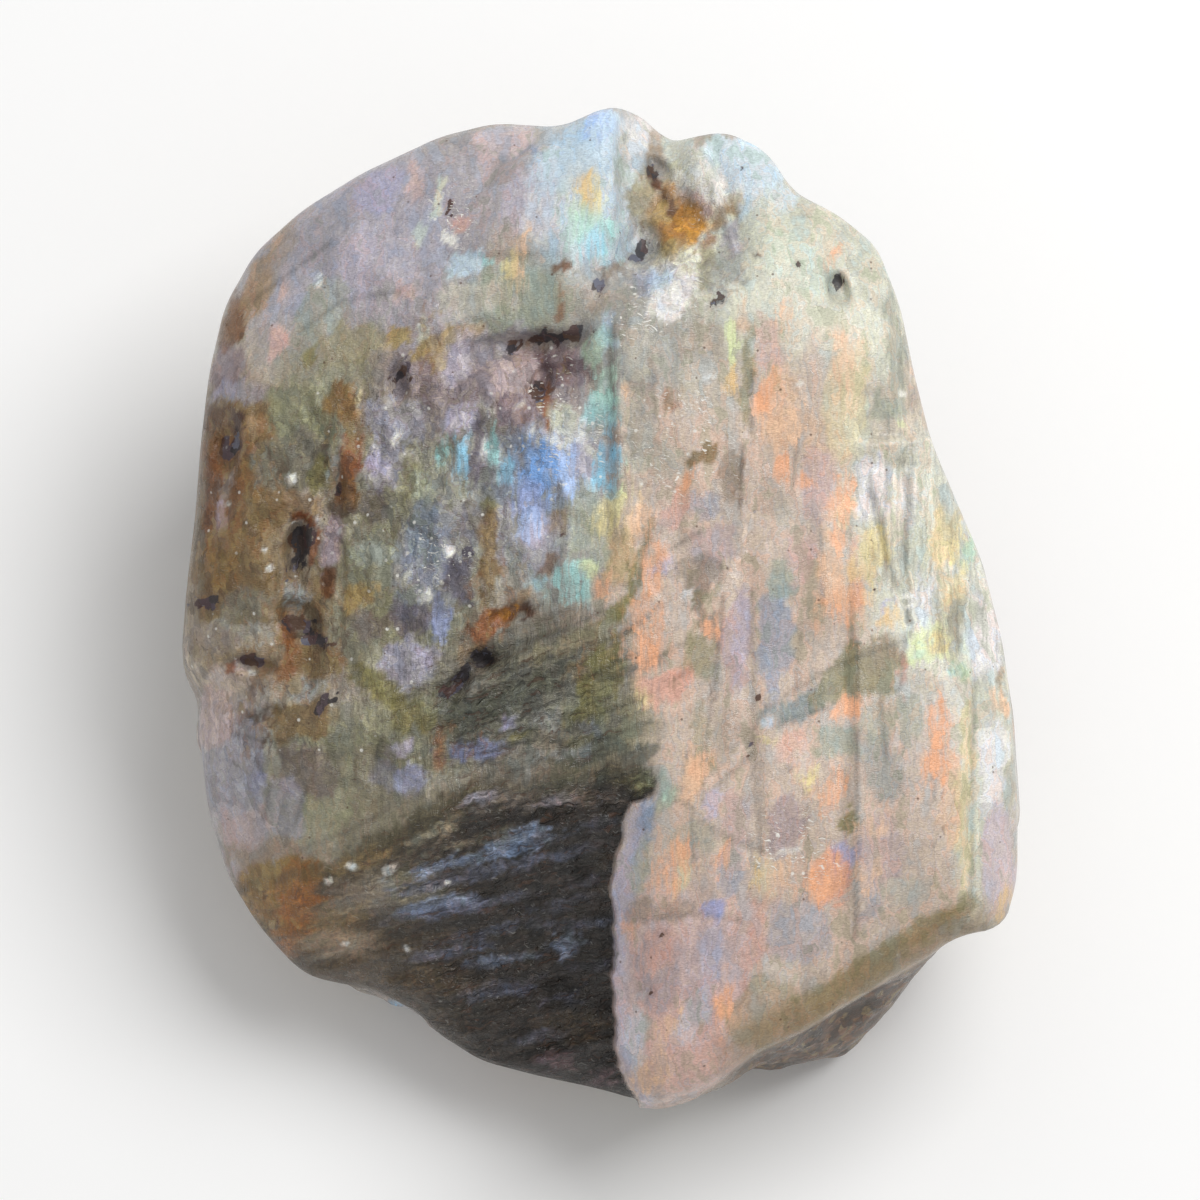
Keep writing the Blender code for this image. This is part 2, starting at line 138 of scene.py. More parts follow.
# Finer ledges that only show close up
fineLedges = [
    ((16.2, 9.0), (15.6, 22.0), -0.25, 1.5),
    ((19.2, 8.0), (21.0, -2.0), 0.3, 1.5),
    ((17.4, 9.2), (17.9, -1.0), 0.25, 1.2),
    ((20.6, 5.4), (22.6, -3.0), -0.25, 1.2),
    ((12.3, -10.0), (12.1, -20.0), 0.18, 1.5),
    ((9.4, -6.0), (9.8, -15.5), -0.2, 1.5),
    ((6.8, -4.5), (6.0, -12.5), 0.2, 1.5),
    ((2.3, 8.0), (1.6, -3.0), 0.3, 2.0),
    ((5.6, 11.0), (4.7, 1.5), -0.22, 2.0),
    ((12.0, 11.5), (11.2, 5.5), 0.25, 1.5),
]

# Grooves: both ends, the depth at each end and the half width, all in mm
grooves = [
    ((3.6, 28.4), (2.4, 20.5), 2.6, 1.2, 2.4),
    ((2.4, 20.5), (-3.0, 15.6), 1.2, 0.5, 1.8),
    ((5.5, 23.2), (6.8, 20.8), 1.6, 1.4, 1.8),
    ((-6.5, 14.8), (-1.5, 13.4), 0.9, 0.9, 2.6),
    ((-9.0, 8.0), (-1.5, 7.5), 0.7, 0.7, 3.0),
    ((-18.3, 4.0), (-17.5, -5.0), 0.8, 0.8, 1.6),
    ((5.5, -6.5), (20.0, 0.5), 0.5, 0.4, 3.2),
    ((-25.5, -5.2), (-21.0, -5.8), 1.2, 0.2, 1.2),
]

# Pits where dark grains have come out: middle, half length, half width, direction and depth
pits = [
    (-11.9, 13.1, 1.1, 0.6, 90, 0.8), (-3.2, 15.2, 2.4, 0.6, 10, 0.8), (-3.3, 13.2, 0.9, 0.7, 60, 0.8),
    (-18.1, 3.2, 1.6, 0.6, 85, 0.9), (-17.8, -1.2, 1.5, 0.9, 150, 0.8), (-22.3, 9.0, 1.4, 0.8, 85, 0.7),
    (-7.0, -3.6, 0.7, 0.6, 0, 0.7), (-8.6, -5.5, 1.4, 0.5, 55, 0.8), (-20.7, -3.9, 1.3, 0.5, 0, 0.7),
    (2.4, 21.2, 1.4, 1.0, 50, 0.9), (3.6, 25.8, 0.9, 0.5, 130, 0.8), (14.2, 18.6, 1.0, 0.6, 100, 0.8),
    (-5.4, -0.7, 1.2, 0.5, 20, 0.6), (-20.0, -7.0, 1.2, 0.4, 20, 0.5),
]

# The broken edge: the direction each cleavage plane faces, its distance from the middle at the table, and
# its lean out over the table
sideCuts = [
    (2, 19.5, 24), (38, 17.0, 30), (72, 24.5, 14), (104, 25.5, 12), (136, 22.0, 26), (172, 19.0, 30),
    (208, 20.5, 28), (240, 21.0, 36), (268, 21.5, 32), (296, 27.0, 8), (326, 25.0, 10),
]

# Roughness of the broken stone, in millimetres
rough = {
    "facetRounding": 0.7,
    "ledgeWidth": 0.32,
    "wander": (0.25, 2.2, 2.2),    # of ledges, grooves and pits from straight lines, and its length
    "lumps": [(12.0, 0.6), (5.0, 0.3), (2.4, 0.14)],    # size and height
    "lumpStretch": 1.5,      # how much longer they are up the face
    "leftFacet": 6.5,        # scooped facets of the left side
    "leftFacetRelief": 0.9,
    "hacklyMiddle": (-7.0, 8.5),    # where the face is pitted most, and how
    "hacklySpread": (8.5, 8.5),
    "hacklySize": 2.6,
    "hacklyHeight": 0.8,
    "notchMiddle": (5.0, 22.0),
    "notchSpread": (3.2, 4.5),
    "sideRounding": 0.8,
    "sideLedge": 4.0,        # from one ledge of the broken edge to the next
    "sideLedgeShare": 0.6,   # how much of it is a step
    "sideLedgeWander": (3.0, 8.0),
    "sideFacets": 26,        # facets round the stone
    "sideFacetHeight": 5.0,
    "sideFacetRelief": 1.3,
    "sideCrumbs": [(0.35, 3, 3, 32), (0.12, 8, 7, 33)],    # relief, how many to a facet each way, and noise
}

# Fine relief of the face: mm high, and mm long across and up the face
fineRelief = {
    "bend": (0.25, 0.8, 0.8),         # of the crumbs' edges
    "crumb": (0.48, 1.2, 2.1),        # where the face is broken up
    "smallCrumb": (0.285, 0.62, 1.0),
    "thread": (0.22, 0.7, 6.0),       # down the right flank
    "slopeFibre": (0.26, 4.0, 0.5),   # on the slope above the hollow
    "slopeSlant": 0.4,
    "slopeMiddle": (-5.0, -5.5),
    "slopeSpread": (8.0, 4.0),
    "upFibre": (0.06, 1.1, 7.0),
    "acrossFibre": (0.05, 3.0, 0.5),
    "dust": (0.05, 0.5, 0.5),
    "soundShare": (0.053, 0.24, 0.10),    # how much small crumb, across fibre and dust the sound face keeps
}


# Smooth step: 0 below low, 1 above high, and 3t^2 - 2t^3 of the way between
def smoothStep(x, low, high):
    t = np.clip((x - low) / (high - low), 0.0, 1.0)
    return t * t * (3.0 - 2.0 * t)


# The lower of two surfaces, with the edge where they meet rounded over
def smoothMin(a, b, rounding):
    share = np.clip(0.5 + 0.5 * (b - a) / rounding, 0.0, 1.0)
    return b + (a - b) * share - rounding * share * (1.0 - share)


# A number from -1 to 1 that belongs to each point of a whole-numbered lattice
def latticeValue(i, j, k, seed):
    mixed = (i * 374761393 + j * 668265263 + k * 1440662683 + seed * 974711) & 0xFFFFFFFF
    mixed = ((mixed ^ (mixed >> 13)) * 1274126177) & 0xFFFFFFFF
    return ((mixed ^ (mixed >> 16)) & 0xFFFFFF) / 8388607.5 - 1.0


# Smooth noise from -1 to 1, lumps one unit across: the lattice's eight nearest values, blended
def lumpy(x, y, z, seed):
    i, j, k = (np.floor(c).astype(np.int64) for c in (x, y, z))
    fx, fy, fz = (c * c * (3.0 - 2.0 * c) for c in (x - i, y - j, z - k))
    total = np.zeros(np.shape(x))
    for di in (0, 1):
        for dj in (0, 1):
            for dk in (0, 1):
                share = (fx if di else 1 - fx) * (fy if dj else 1 - fy) * (fz if dk else 1 - fz)
                total += share * latticeValue(i + di, j + dj, k + dk, seed)
    return total


# Lumps of the given height and length across and up
def waves(u, v, entry, seed):
    height, across, up = entry
    return height * lumpy(u / across, v / up, 0 * u, seed)


# Broken facets: the lowest of many shallow bowls, each with its own middle, height and tilt
def hackly(x, y, seed, wrap=1 << 20):
    i, j = np.floor(x).astype(np.int64), np.floor(y).astype(np.int64)
    lowest = np.full(np.shape(x), 9.0)
    for di in (-1, 0, 1):
        for dj in (-1, 0, 1):
            cell = ((i + di) % wrap, j + dj)
            offX = x - (i + di + 0.5 + 0.4 * latticeValue(*cell, 0, seed))
            offY = y - (j + dj + 0.5 + 0.4 * latticeValue(*cell, 1, seed))
            tiltX, tiltY = latticeValue(*cell, 3, seed), latticeValue(*cell, 4, seed)
            bowl = 0.4 * latticeValue(*cell, 2, seed) + 0.9 * (tiltX * offX + tiltY * offY)
            lowest = np.minimum(lowest, bowl + 0.8 * (offX**2 + offY**2))
    return lowest


# Broken facets of the given height and length across and up
def crumbs(u, v, entry, seed):
    height, across, up = entry
    return height * hackly(u / across, v / up, seed)


# Cleavage blocks: two numbers from -1 to 1 for the block each point is in. The blocks are the cells of a
# jittered lattice, each point going to the middle that is nearest by the larger of its two offsets.
def cleaved(x, y, seed):
    i, j = np.floor(x).astype(np.int64), np.floor(y).astype(np.int64)
    nearest = np.full(np.shape(x), 9.0)
    first, second = np.zeros(np.shape(x)), np.zeros(np.shape(x))
    for di in (-1, 0, 1):
        for dj in (-1, 0, 1):
            cell = (i + di, j + dj)
            offX = np.abs(x - (i + di + 0.5 + 0.45 * latticeValue(*cell, 0, seed)))
            offY = np.abs(y - (j + dj + 0.5 + 0.45 * latticeValue(*cell, 1, seed)))
            away = np.maximum(offX, offY)
            closer = away < nearest
            nearest = np.where(closer, away, nearest)
            first = np.where(closer, latticeValue(*cell, 2, seed), first)
            second = np.where(closer, latticeValue(*cell, 3, seed), second)
    return first, second


# The distance past a line, 0 before it, rounded over where it starts
def beyond(distance, rounding):
    return 0.5 * (distance + np.sqrt(distance**2 + rounding**2))


# How far along a line each point is, from 0 to 1, and how far to its left
def along(u, v, start, end):
    runU, runV = end[0] - start[0], end[1] - start[1]
    length = math.hypot(runU, runV)
    share = ((u - start[0]) * runU + (v - start[1]) * runV) / length**2
    left = ((v - start[1]) * runU - (u - start[0]) * runV) / length
    return share, left


# A steep drop beside a line, fading out at its ends, that climbs back exponentially
def ledge(u, v, start, end, height, reach):
    share, left = along(u, v, start, end)
    side = left if height > 0 else -left
    held = smoothStep(share, 0.0, 0.35) * smoothStep(1.0 - share, 0.0, 0.35)
    climb = np.exp(-np.maximum(side, 0.0) / reach)
    return -abs(height) * held * climb * smoothStep(side, -rough["ledgeWidth"], rough["ledgeWidth"])


# A channel with a bell-shaped section along a line
def groove(u, v, start, end, depthStart, depthEnd, width):
    share, left = along(u, v, start, end)
    length = math.hypot(end[0] - start[0], end[1] - start[1])
    past = np.maximum(np.maximum(-share, share - 1.0), 0.0) * length
    depth = depthStart + (depthEnd - depthStart) * np.clip(share, 0.0, 1.0)
    return -depth * np.exp(-(left**2 + past**2) / width**2)


# How far out each point is of an oval, 1 at its edge: the power-th root of the powers of its shares of the
# half length and the half width. Power 2 gives an ellipse, and a higher one a rounded box.
def ovalReach(x, y, middleX, middleY, halfLength, halfWidth, direction, power=2.0):
    turn = math.radians(direction)
    offX, offY = x - middleX, y - middleY
    lengthwise = np.abs(offX * math.cos(turn) + offY * math.sin(turn)) / halfLength
    crosswise = np.abs(offY * math.cos(turn) - offX * math.sin(turn)) / halfWidth
    return (lengthwise**power + crosswise**power) ** (1.0 / power)


# A bell about a middle
def bell(u, v, middle, spread):
    return np.exp(-(((u - middle[0]) / spread[0]) ** 2 + ((v - middle[1]) / spread[1]) ** 2))


# The outline's distance from the middle in each direction, straight from point to point
def outlineRadius(turn):
    points = np.array(outline + outline[:1])
    angles = np.unwrap(np.arctan2(points[:, 1], points[:, 0]))
    turn = angles[0] + np.mod(turn - angles[0], 2.0 * math.pi)
    at = np.clip(np.searchsorted(angles, turn, side="right") - 1, 0, len(outline) - 1)
    start, run = points[at], points[at + 1] - points[at]
    cross = start[..., 0] * run[..., 1] - start[..., 1] * run[..., 0]
    return cross / (np.cos(turn) * run[..., 1] - np.sin(turn) * run[..., 0])


# The outline with its corners eased: the mean of the distances in five directions close together
def easedRadius(turn):
    steps = np.radians(stone["outlineEasing"]) * np.array([-2.0, -1.0, 0.0, 1.0, 2.0])
    return sum(outlineRadius(turn + step) for step in steps) / len(steps)


# A column of a table whose rows belong to directions in degrees, straight from row to row
def byDirection(turn, table, column):
    degrees = np.degrees(turn) % 360.0
    return np.interp(degrees, list(table), [entry[column] for entry in table.values()], period=360.0)


# How far each point is to the right of the ridge and below the hollow's upper edge, in mm. Both run straight
# from point to point, and the ridge is chipped by noise along it.
def hollowPlace(u, v):
    chipped = sum(depth * lumpy(0 * u, v / length, 0 * u, seed) for depth, length, seed in ridge["chips"])
    pastRidge = u - np.interp(v, ridge["v"], ridge["u"]) + chipped * smoothStep(-v, *ridge["chipsFrom"])
    below = np.interp(u, hollow["edgeU"], hollow["edgeV"]) - v
    return pastRidge, below


# Height of the face: the lowest of its planes, plus lumps, ledges, grooves, broken facets and pits, less the
# flank, the rim's fall and the hollow. share is how far out from the middle a point is, 1 at the outline.
def faceDepth(u, v, share):
    w = np.full(np.shape(u), 9.0)    # above every plane
    for pointU, pointV, level, riseU, riseV in facets:
        w = smoothMin(w, level + riseU * (u - pointU) + riseV * (v - pointV), rough["facetRounding"])
    for size, height in rough["lumps"]:
        w = w + waves(u, v, (height, size, size * rough["lumpStretch"]), 3)
    bentU = u + waves(u, v, rough["wander"], 14)
    bentV = v + waves(u, v, rough["wander"], 15)
    for entry in ledges + fineLedges:
        w = w + ledge(bentU, bentV, *entry)
    for entry in grooves:
        w = w + groove(bentU, bentV, *entry)
    left = smoothStep(-u, 0.0, 10.0)
    w = w + left * crumbs(u, v, (rough["leftFacetRelief"], rough["leftFacet"], rough["leftFacet"]), 7)
    patch = bell(u, v, rough["hacklyMiddle"], rough["hacklySpread"])
    w = w + patch * crumbs(u, v, (rough["hacklyHeight"], rough["hacklySize"], rough["hacklySize"]), 5)
    for middleU, middleV, halfLength, halfWidth, direction, depth in pits:
        reach = ovalReach(bentU, bentV, middleU, middleV, halfLength, halfWidth, direction)
        w = w - depth * (1.0 - smoothStep(reach, 0.5, 1.4))
    w = w + faceGrain(u, v)
    w = w - flank["slope"] * beyond(u - np.interp(v, flank["v"], flank["u"]), 0.8)
    turn = np.arctan2(v, u)
    drop, tightness = byDirection(turn, rimFall, 0), byDirection(turn, rimFall, 1)
    w = w - drop * (1.0 - np.sqrt(np.maximum(1.0 - share**tightness, 0.0)))
    return carveHollow(u, v, w)


# How broken up the face is: most where it is pitted, at the notch and towards the left
def brokenShare(u, v):
    patch = bell(u, v, rough["hacklyMiddle"], rough["hacklySpread"])
    notch = bell(u, v, rough["notchMiddle"], rough["notchSpread"])
    left = smoothStep(-u, 2.0, 14.0) * smoothStep(v, -17.0, -8.0) * (1.0 - 0.8 * smoothStep(v, 9.0, 16.0))
    return np.clip(1.1 * patch + 0.75 * left + notch, 0.0, 1.0)


# Fine relief of the face: small broken facets where it is broken up, threads down the right flank, slanting
# fibres on the slope, and a fine grain all over
def faceGrain(u, v):
    broken = brokenShare(u, v)
    crumbShare, fibreShare, dustShare = fineRelief["soundShare"]
    bentU = u + waves(u, v, fineRelief["bend"], 48)
    w = broken * crumbs(bentU, v, fineRelief["crumb"], 41)
    w = w + (crumbShare + broken) * crumbs(bentU, v, fineRelief["smallCrumb"], 42)
    slab = smoothStep(u - np.interp(v, flank["v"], flank["u"]), -0.5, 1.5)
    w = w + slab * waves(u, v, fineRelief["thread"], 43)
    slope, slant = bell(u, v, fineRelief["slopeMiddle"], fineRelief["slopeSpread"]), fineRelief["slopeSlant"]
    w = w + slope * waves(u + slant * v, v - slant * u, fineRelief["slopeFibre"], 44)
    w = w + (1.0 - broken) * waves(u, v, fineRelief["upFibre"], 49)
    w = w + (fibreShare + broken) * waves(u, v, fineRelief["acrossFibre"], 45)
    return w + (dustShare + broken) * waves(u, v, fineRelief["dust"], 46)


# Below its upper edge and left of the ridge the face falls away in a straight slope with a scoop in it
def carveHollow(u, v, w):
    pastRidge, below = hollowPlace(u, v)
    floor = w - hollow["slope"] * beyond(below, 0.5)
    floor = floor - hollow["dip"] * bell(u, v, hollow["dipMiddle"], hollow["dipSpread"])
    inside = smoothStep(below, 0.0, 3.0)
    upward = v - hollow["slant"] * u
    floor = floor + inside * waves(u + hollow["lumpSlant"] * v, upward, hollow["lump"], 8)
    floor = floor + inside * waves(u + hollow["slant"] * v, upward, hollow["fibre"], 47)
    floor = floor + inside * crumbs(u + hollow["slant"] * v, upward, hollow["crumb"], 48)
    inLine = smoothStep(-v, 10.5, 14.0) * np.exp(-np.maximum(pastRidge, 0.0) / ridge["bevelWidth"])
    w = w - ridge["bevel"] * inLine
    return w + (floor - w) * smoothStep(-pastRidge, -ridge["width"] / 2, ridge["width"] / 2)


# Moves points of the face sideways so that the grid is closest where it steps down at the ridge
def drawToRidge(u, v, share):
    off = u - np.interp(v, ridge["v"], ridge["u"])
    held = smoothStep(-v, 12.0, 14.0) * (1.0 - share**8)
    return u - ridge["draw"] * off * np.exp(-((off / ridge["drawReach"]) ** 2)) * held


# From the face frame to the table's, in millimetres: turned back by the lean and lifted
def layBack(u, v, w):
    lean = math.radians(stone["lean"])
    y = v * math.cos(lean) - w * math.sin(lean)
    z = v * math.sin(lean) + w * math.cos(lean) + stone["middleHeight"]
    return np.stack([u, y, z], axis=-1)


# x gathered into steps, with a steep riser between one and the next
def stair(x, step):
    whole = np.floor(x / step)
    return step * (whole + smoothStep(x / step - whole, 0.55, 1.0))


# The side below a point of the rim: its reach is the lowest of the rim's and the cleavage planes', in steps
# level with the face, plus lumps and broken facets that fade out at the rim and at the table
def brokenEdge(rim, down):
    turn = np.arctan2(rim[..., 1], rim[..., 0])
    rimReach = np.hypot(rim[..., 0], rim[..., 1])
    x, y, z = rim[..., 0], rim[..., 1], rim[..., 2] * (1.0 - down)
    lean = math.radians(stone["lean"])
    layer = (z - stone["middleHeight"]) * math.cos(lean) - y * math.sin(lean)
    wander, wanderSize = rough["sideLedgeWander"]
    layer = layer + wander * lumpy(x / wanderSize, y / wanderSize, z / wanderSize, 21)
    stepped = z + rough["sideLedgeShare"] * (stair(layer, rough["sideLedge"]) - layer)
    reach = rimReach.copy()
    for facing, atTable, outLean in sideCuts:
        off = (turn - math.radians(facing) + math.pi) % (2.0 * math.pi) - math.pi
        cut = (atTable + stepped * math.tan(math.radians(outLean))) / np.cos(np.clip(off, -1.3, 1.3))
        reach = smoothMin(reach, cut, rough["sideRounding"])
    lumps = sum(height * lumpy(x / size, y / size, z / size, 11) for size, height in rough["lumps"])
    around = (turn / math.pi + 1.0) * rough["sideFacets"] / 2.0
    high = z / rough["sideFacetHeight"]
    lumps = lumps + rough["sideFacetRelief"] * hackly(around, high, 31, rough["sideFacets"])
    for relief, timesAround, timesHigh, seed in rough["sideCrumbs"]:
        wrap = rough["sideFacets"] * timesAround
        lumps = lumps + relief * hackly(around * timesAround, high * timesHigh, seed, wrap)
    free = smoothStep(down, 0.0, 0.2) * smoothStep(1.0 - down, 0.0, 0.15)
    inward = (rimReach - reach) * smoothStep(down, 0.0, 0.1)
    eased = rimReach - inward + smoothMin(lumps, 0.3, 0.4) * free
    return np.stack([eased * np.cos(turn), eased * np.sin(turn), z], axis=-1)


# The stone's points, its faces, and for each point the face place u, v that it belongs to and how far it is
# down the side (0 on the face, 1 at the table). A square grid is drawn onto the face by mapping the square
# to a disc, x = a sqrt(1 - b^2/2) and y = b sqrt(1 - a^2/2), and the disc to the outline. The square's
# edge goes on down the side as rows, and under the stone as shrinking rings.
def stoneSurface():
    n, rows, rings = stone["acrossFace"], stone["downSide"], stone["underRings"]
    line = np.linspace(-1.0, 1.0, n + 1)
    a, b = np.meshgrid(line, line, indexing="ij")
    discX, discY = a * np.sqrt(1.0 - b * b / 2.0), b * np.sqrt(1.0 - a * a / 2.0)
    turn, share = np.arctan2(discY, discX), np.minimum(np.hypot(discX, discY), 1.0)
    radius = easedRadius(turn)
    v = share * radius * np.sin(turn)
    u = drawToRidge(share * radius * np.cos(turn), v, share)
    face = layBack(u, v, faceDepth(u, v, share)).reshape(-1, 3)
    number = np.arange((n + 1) ** 2).reshape(n + 1, n + 1)
    rimNumbers = np.concatenate([number[:-1, 0], number[-1, :-1], number[:0:-1, -1], number[0, :0:-1]])
    rim = face[rimNumbers]
    down = np.linspace(0.0, 1.0, rows + 1)[1:, None]
    side = brokenEdge(np.broadcast_to(rim, (rows,) + rim.shape), down * np.ones(len(rim)))
    shrink = np.linspace(1.0, 0.0, rings + 1)[1:-1, None, None]
    under = side[-1] * shrink
    points = np.concatenate([face, side.reshape(-1, 3), under.reshape(-1, 3), np.zeros((1, 3))])
    points[:, :2] -= stone["middle"]

    around = len(rim)
    squares = np.stack([number[:-1, :-1], number[1:, :-1], number[1:, 1:], number[:-1, 1:]], -1)
    belts = np.arange(around * (rows + rings - 1)).reshape(-1, around) + (n + 1) ** 2
    belts = np.vstack([rimNumbers, belts])
    after = np.roll(belts, -1, axis=1)
    rounds = np.stack([belts[1:], after[1:], after[:-1], belts[:-1]], -1)
    quads = np.concatenate([squares.reshape(-1, 4), rounds.reshape(-1, 4)])
    last = np.full(around, len(points) - 1)
    fan = np.stack([belts[-1], last, after[-1]], -1)

    placeU, placeV = u.ravel(), v.ravel()
    copies = rows + rings - 1
    placeU = np.concatenate([placeU, np.tile(placeU[rimNumbers], copies), [0.0]])
    placeV = np.concatenate([placeV, np.tile(placeV[rimNumbers], copies), [0.0]])
    shares = np.concatenate([share.ravel(), np.ones(around * copies + 1)])
    downs = np.concatenate([
        np.zeros((n + 1) ** 2), np.repeat(down[:, 0], around), np.ones(around * (rings - 1) + 1)])
    return points, quads, fan, placeU, placeV, shares, downs


points, quads, fan, placeU, placeV, shares, downs = stoneSurface()
print("stone surface:", len(points), "points,", 2 * len(quads) + len(fan), "triangles")

# Colours of the stone, sRGB from 0 to 255
palette = {
    "cream": (204, 205, 188), "sand": (198, 180, 165), "sandPink": (202, 174, 166), "tan": (166, 140, 108),
    "mauve": (164, 160, 166), "plum": (136, 116, 122), "plumDark": (96, 74, 78), "beige": (178, 166, 152),
    "olive": (142, 140, 114), "oliveDark": (116, 116, 84), "moss": (134, 126, 80),
    "oliveBrown": (134, 112, 76), "ochre": (164, 142, 94), "amber": (180, 124, 44), "brown": (122, 82, 46),
    "rust": (150, 98, 58), "umber": (86, 58, 40), "char": (48, 44, 50), "grey": (156, 158, 152),
    "greyGreen": (162, 172, 154), "steel": (126, 138, 160), "slate": (98, 102, 120),
    "blueGrey": (166, 176, 192), "paleBlue": (188, 206, 218), "ice": (200, 222, 236),
    "iceMist": (207, 221, 226), "blue": (130, 176, 236), "sky": (150, 204, 230), "aqua": (158, 206, 204),
    "mint": (178, 208, 188), "lime": (214, 222, 172), "yellow": (222, 206, 150), "gold": (226, 190, 134),
    "peach": (226, 188, 156), "orange": (234, 172, 132), "pink": (216, 168, 150), "lilac": (170, 168, 198),
    "violet": (150, 160, 198), "white": (240, 238, 230), "salmon": (216, 160, 134),
    "mauvePink": (182, 162, 160), "lilacGrey": (186, 178, 190), "taupe": (152, 136, 120),
    "brownGrey": (124, 112, 102), "sage": (162, 166, 150), "khaki": (154, 144, 114),
    "creamGrey": (188, 182, 168), "whiteGrey": (218, 216, 214), "goldCream": (220, 206, 166),
    "amberGlow": (206, 148, 62), "brownDeep": (92, 56, 30), "pinkMist": (205, 190, 192),
    "skyMist": (172, 196, 236), "mintMist": (200, 212, 198), "aquaGrey": (166, 192, 194),
    "plumGrey": (110, 102, 108), "sandGold": (188, 164, 124), "greyOlive": (132, 125, 106),
    "rustDark": (120, 78, 46), "umberSoft": (98, 74, 52), "ochreDark": (138, 110, 66),
    "amberDark": (136, 88, 38), "steelMist": (124, 128, 150), "lilacMist": (160, 160, 174),
    # The hollow colours are its dark stone darkened further as painted shade; the lip colour and the corner's
    # dark side colour are painted shade
    "slopeDark": (92, 93, 80), "teal": (130, 142, 142), "dustBlue": (152, 158, 170), "hollow": (44, 38, 33),
    "hollowLeft": (82, 70, 54), "lip": (76, 68, 44), "mud": (76, 62, 42), "cornerShadow": (46, 32, 8),
    "wine": (70, 46, 50), "slope": (112, 109, 97), "earth": (112, 92, 66),
}

# Strokes of colour, in units of the sketch: the middle across and down, half length, half width, tilt in
# degrees, colour and how fully it covers. First the broad tones, and then the patches on them.
broadTones = [
    (790, 560, 230, 330, 0, "sand", 1), (800, 860, 210, 200, 0, "sand", .9),
    (690, 1000, 90, 120, 0, "sandPink", 1), (770, 260, 120, 110, 0, "cream", .9),
    (880, 300, 110, 45, 80, "cream", .8), (935, 560, 150, 85, 100, "cream", 1),
    (985, 760, 170, 35, 90, "cream", 1), (590, 190, 90, 60, 90, "paleBlue", .9),
    (350, 240, 130, 110, 35, "mauve", 1), (480, 180, 70, 60, 20, "mauve", .8),
    (440, 300, 60, 60, 0, "mauve", .8), (520, 300, 60, 40, 0, "greyGreen", .8),
    (330, 390, 60, 80, 0, "olive", .9), (640, 340, 80, 60, 0, "grey", .8),
    (480, 400, 120, 70, 0, "plum", .7), (440, 500, 110, 80, 0, "olive", .8),
    (560, 540, 60, 70, 0, "grey", .8), (400, 600, 90, 80, 0, "olive", .9),
    (230, 520, 60, 130, 0, "oliveBrown", 1), (260, 620, 80, 90, 0, "oliveBrown", .7),
    (215, 470, 36, 110, 0, "earth", .8), (230, 800, 60, 110, 0, "mauve", .95),
    (330, 780, 80, 80, 0, "olive", .9), (420, 740, 70, 60, 20, "olive", .8),
    (530, 690, 110, 62, 24, "slope", .95), (500, 640, 70, 30, 24, "slope", .6),
    (600, 730, 60, 40, 20, "oliveDark", .8), (275, 905, 55, 55, -20, "brown", 1),
    (350, 250, 120, 80, 45, "lilacGrey", .38), (510, 480, 100, 100, 0, "dustBlue", .3),
    (680, 960, 60, 120, 90, "pinkMist", .2), (950, 620, 60, 180, 0, "whiteGrey", .3),
    (560, 680, 90, 40, 24, "sage", .25),
]
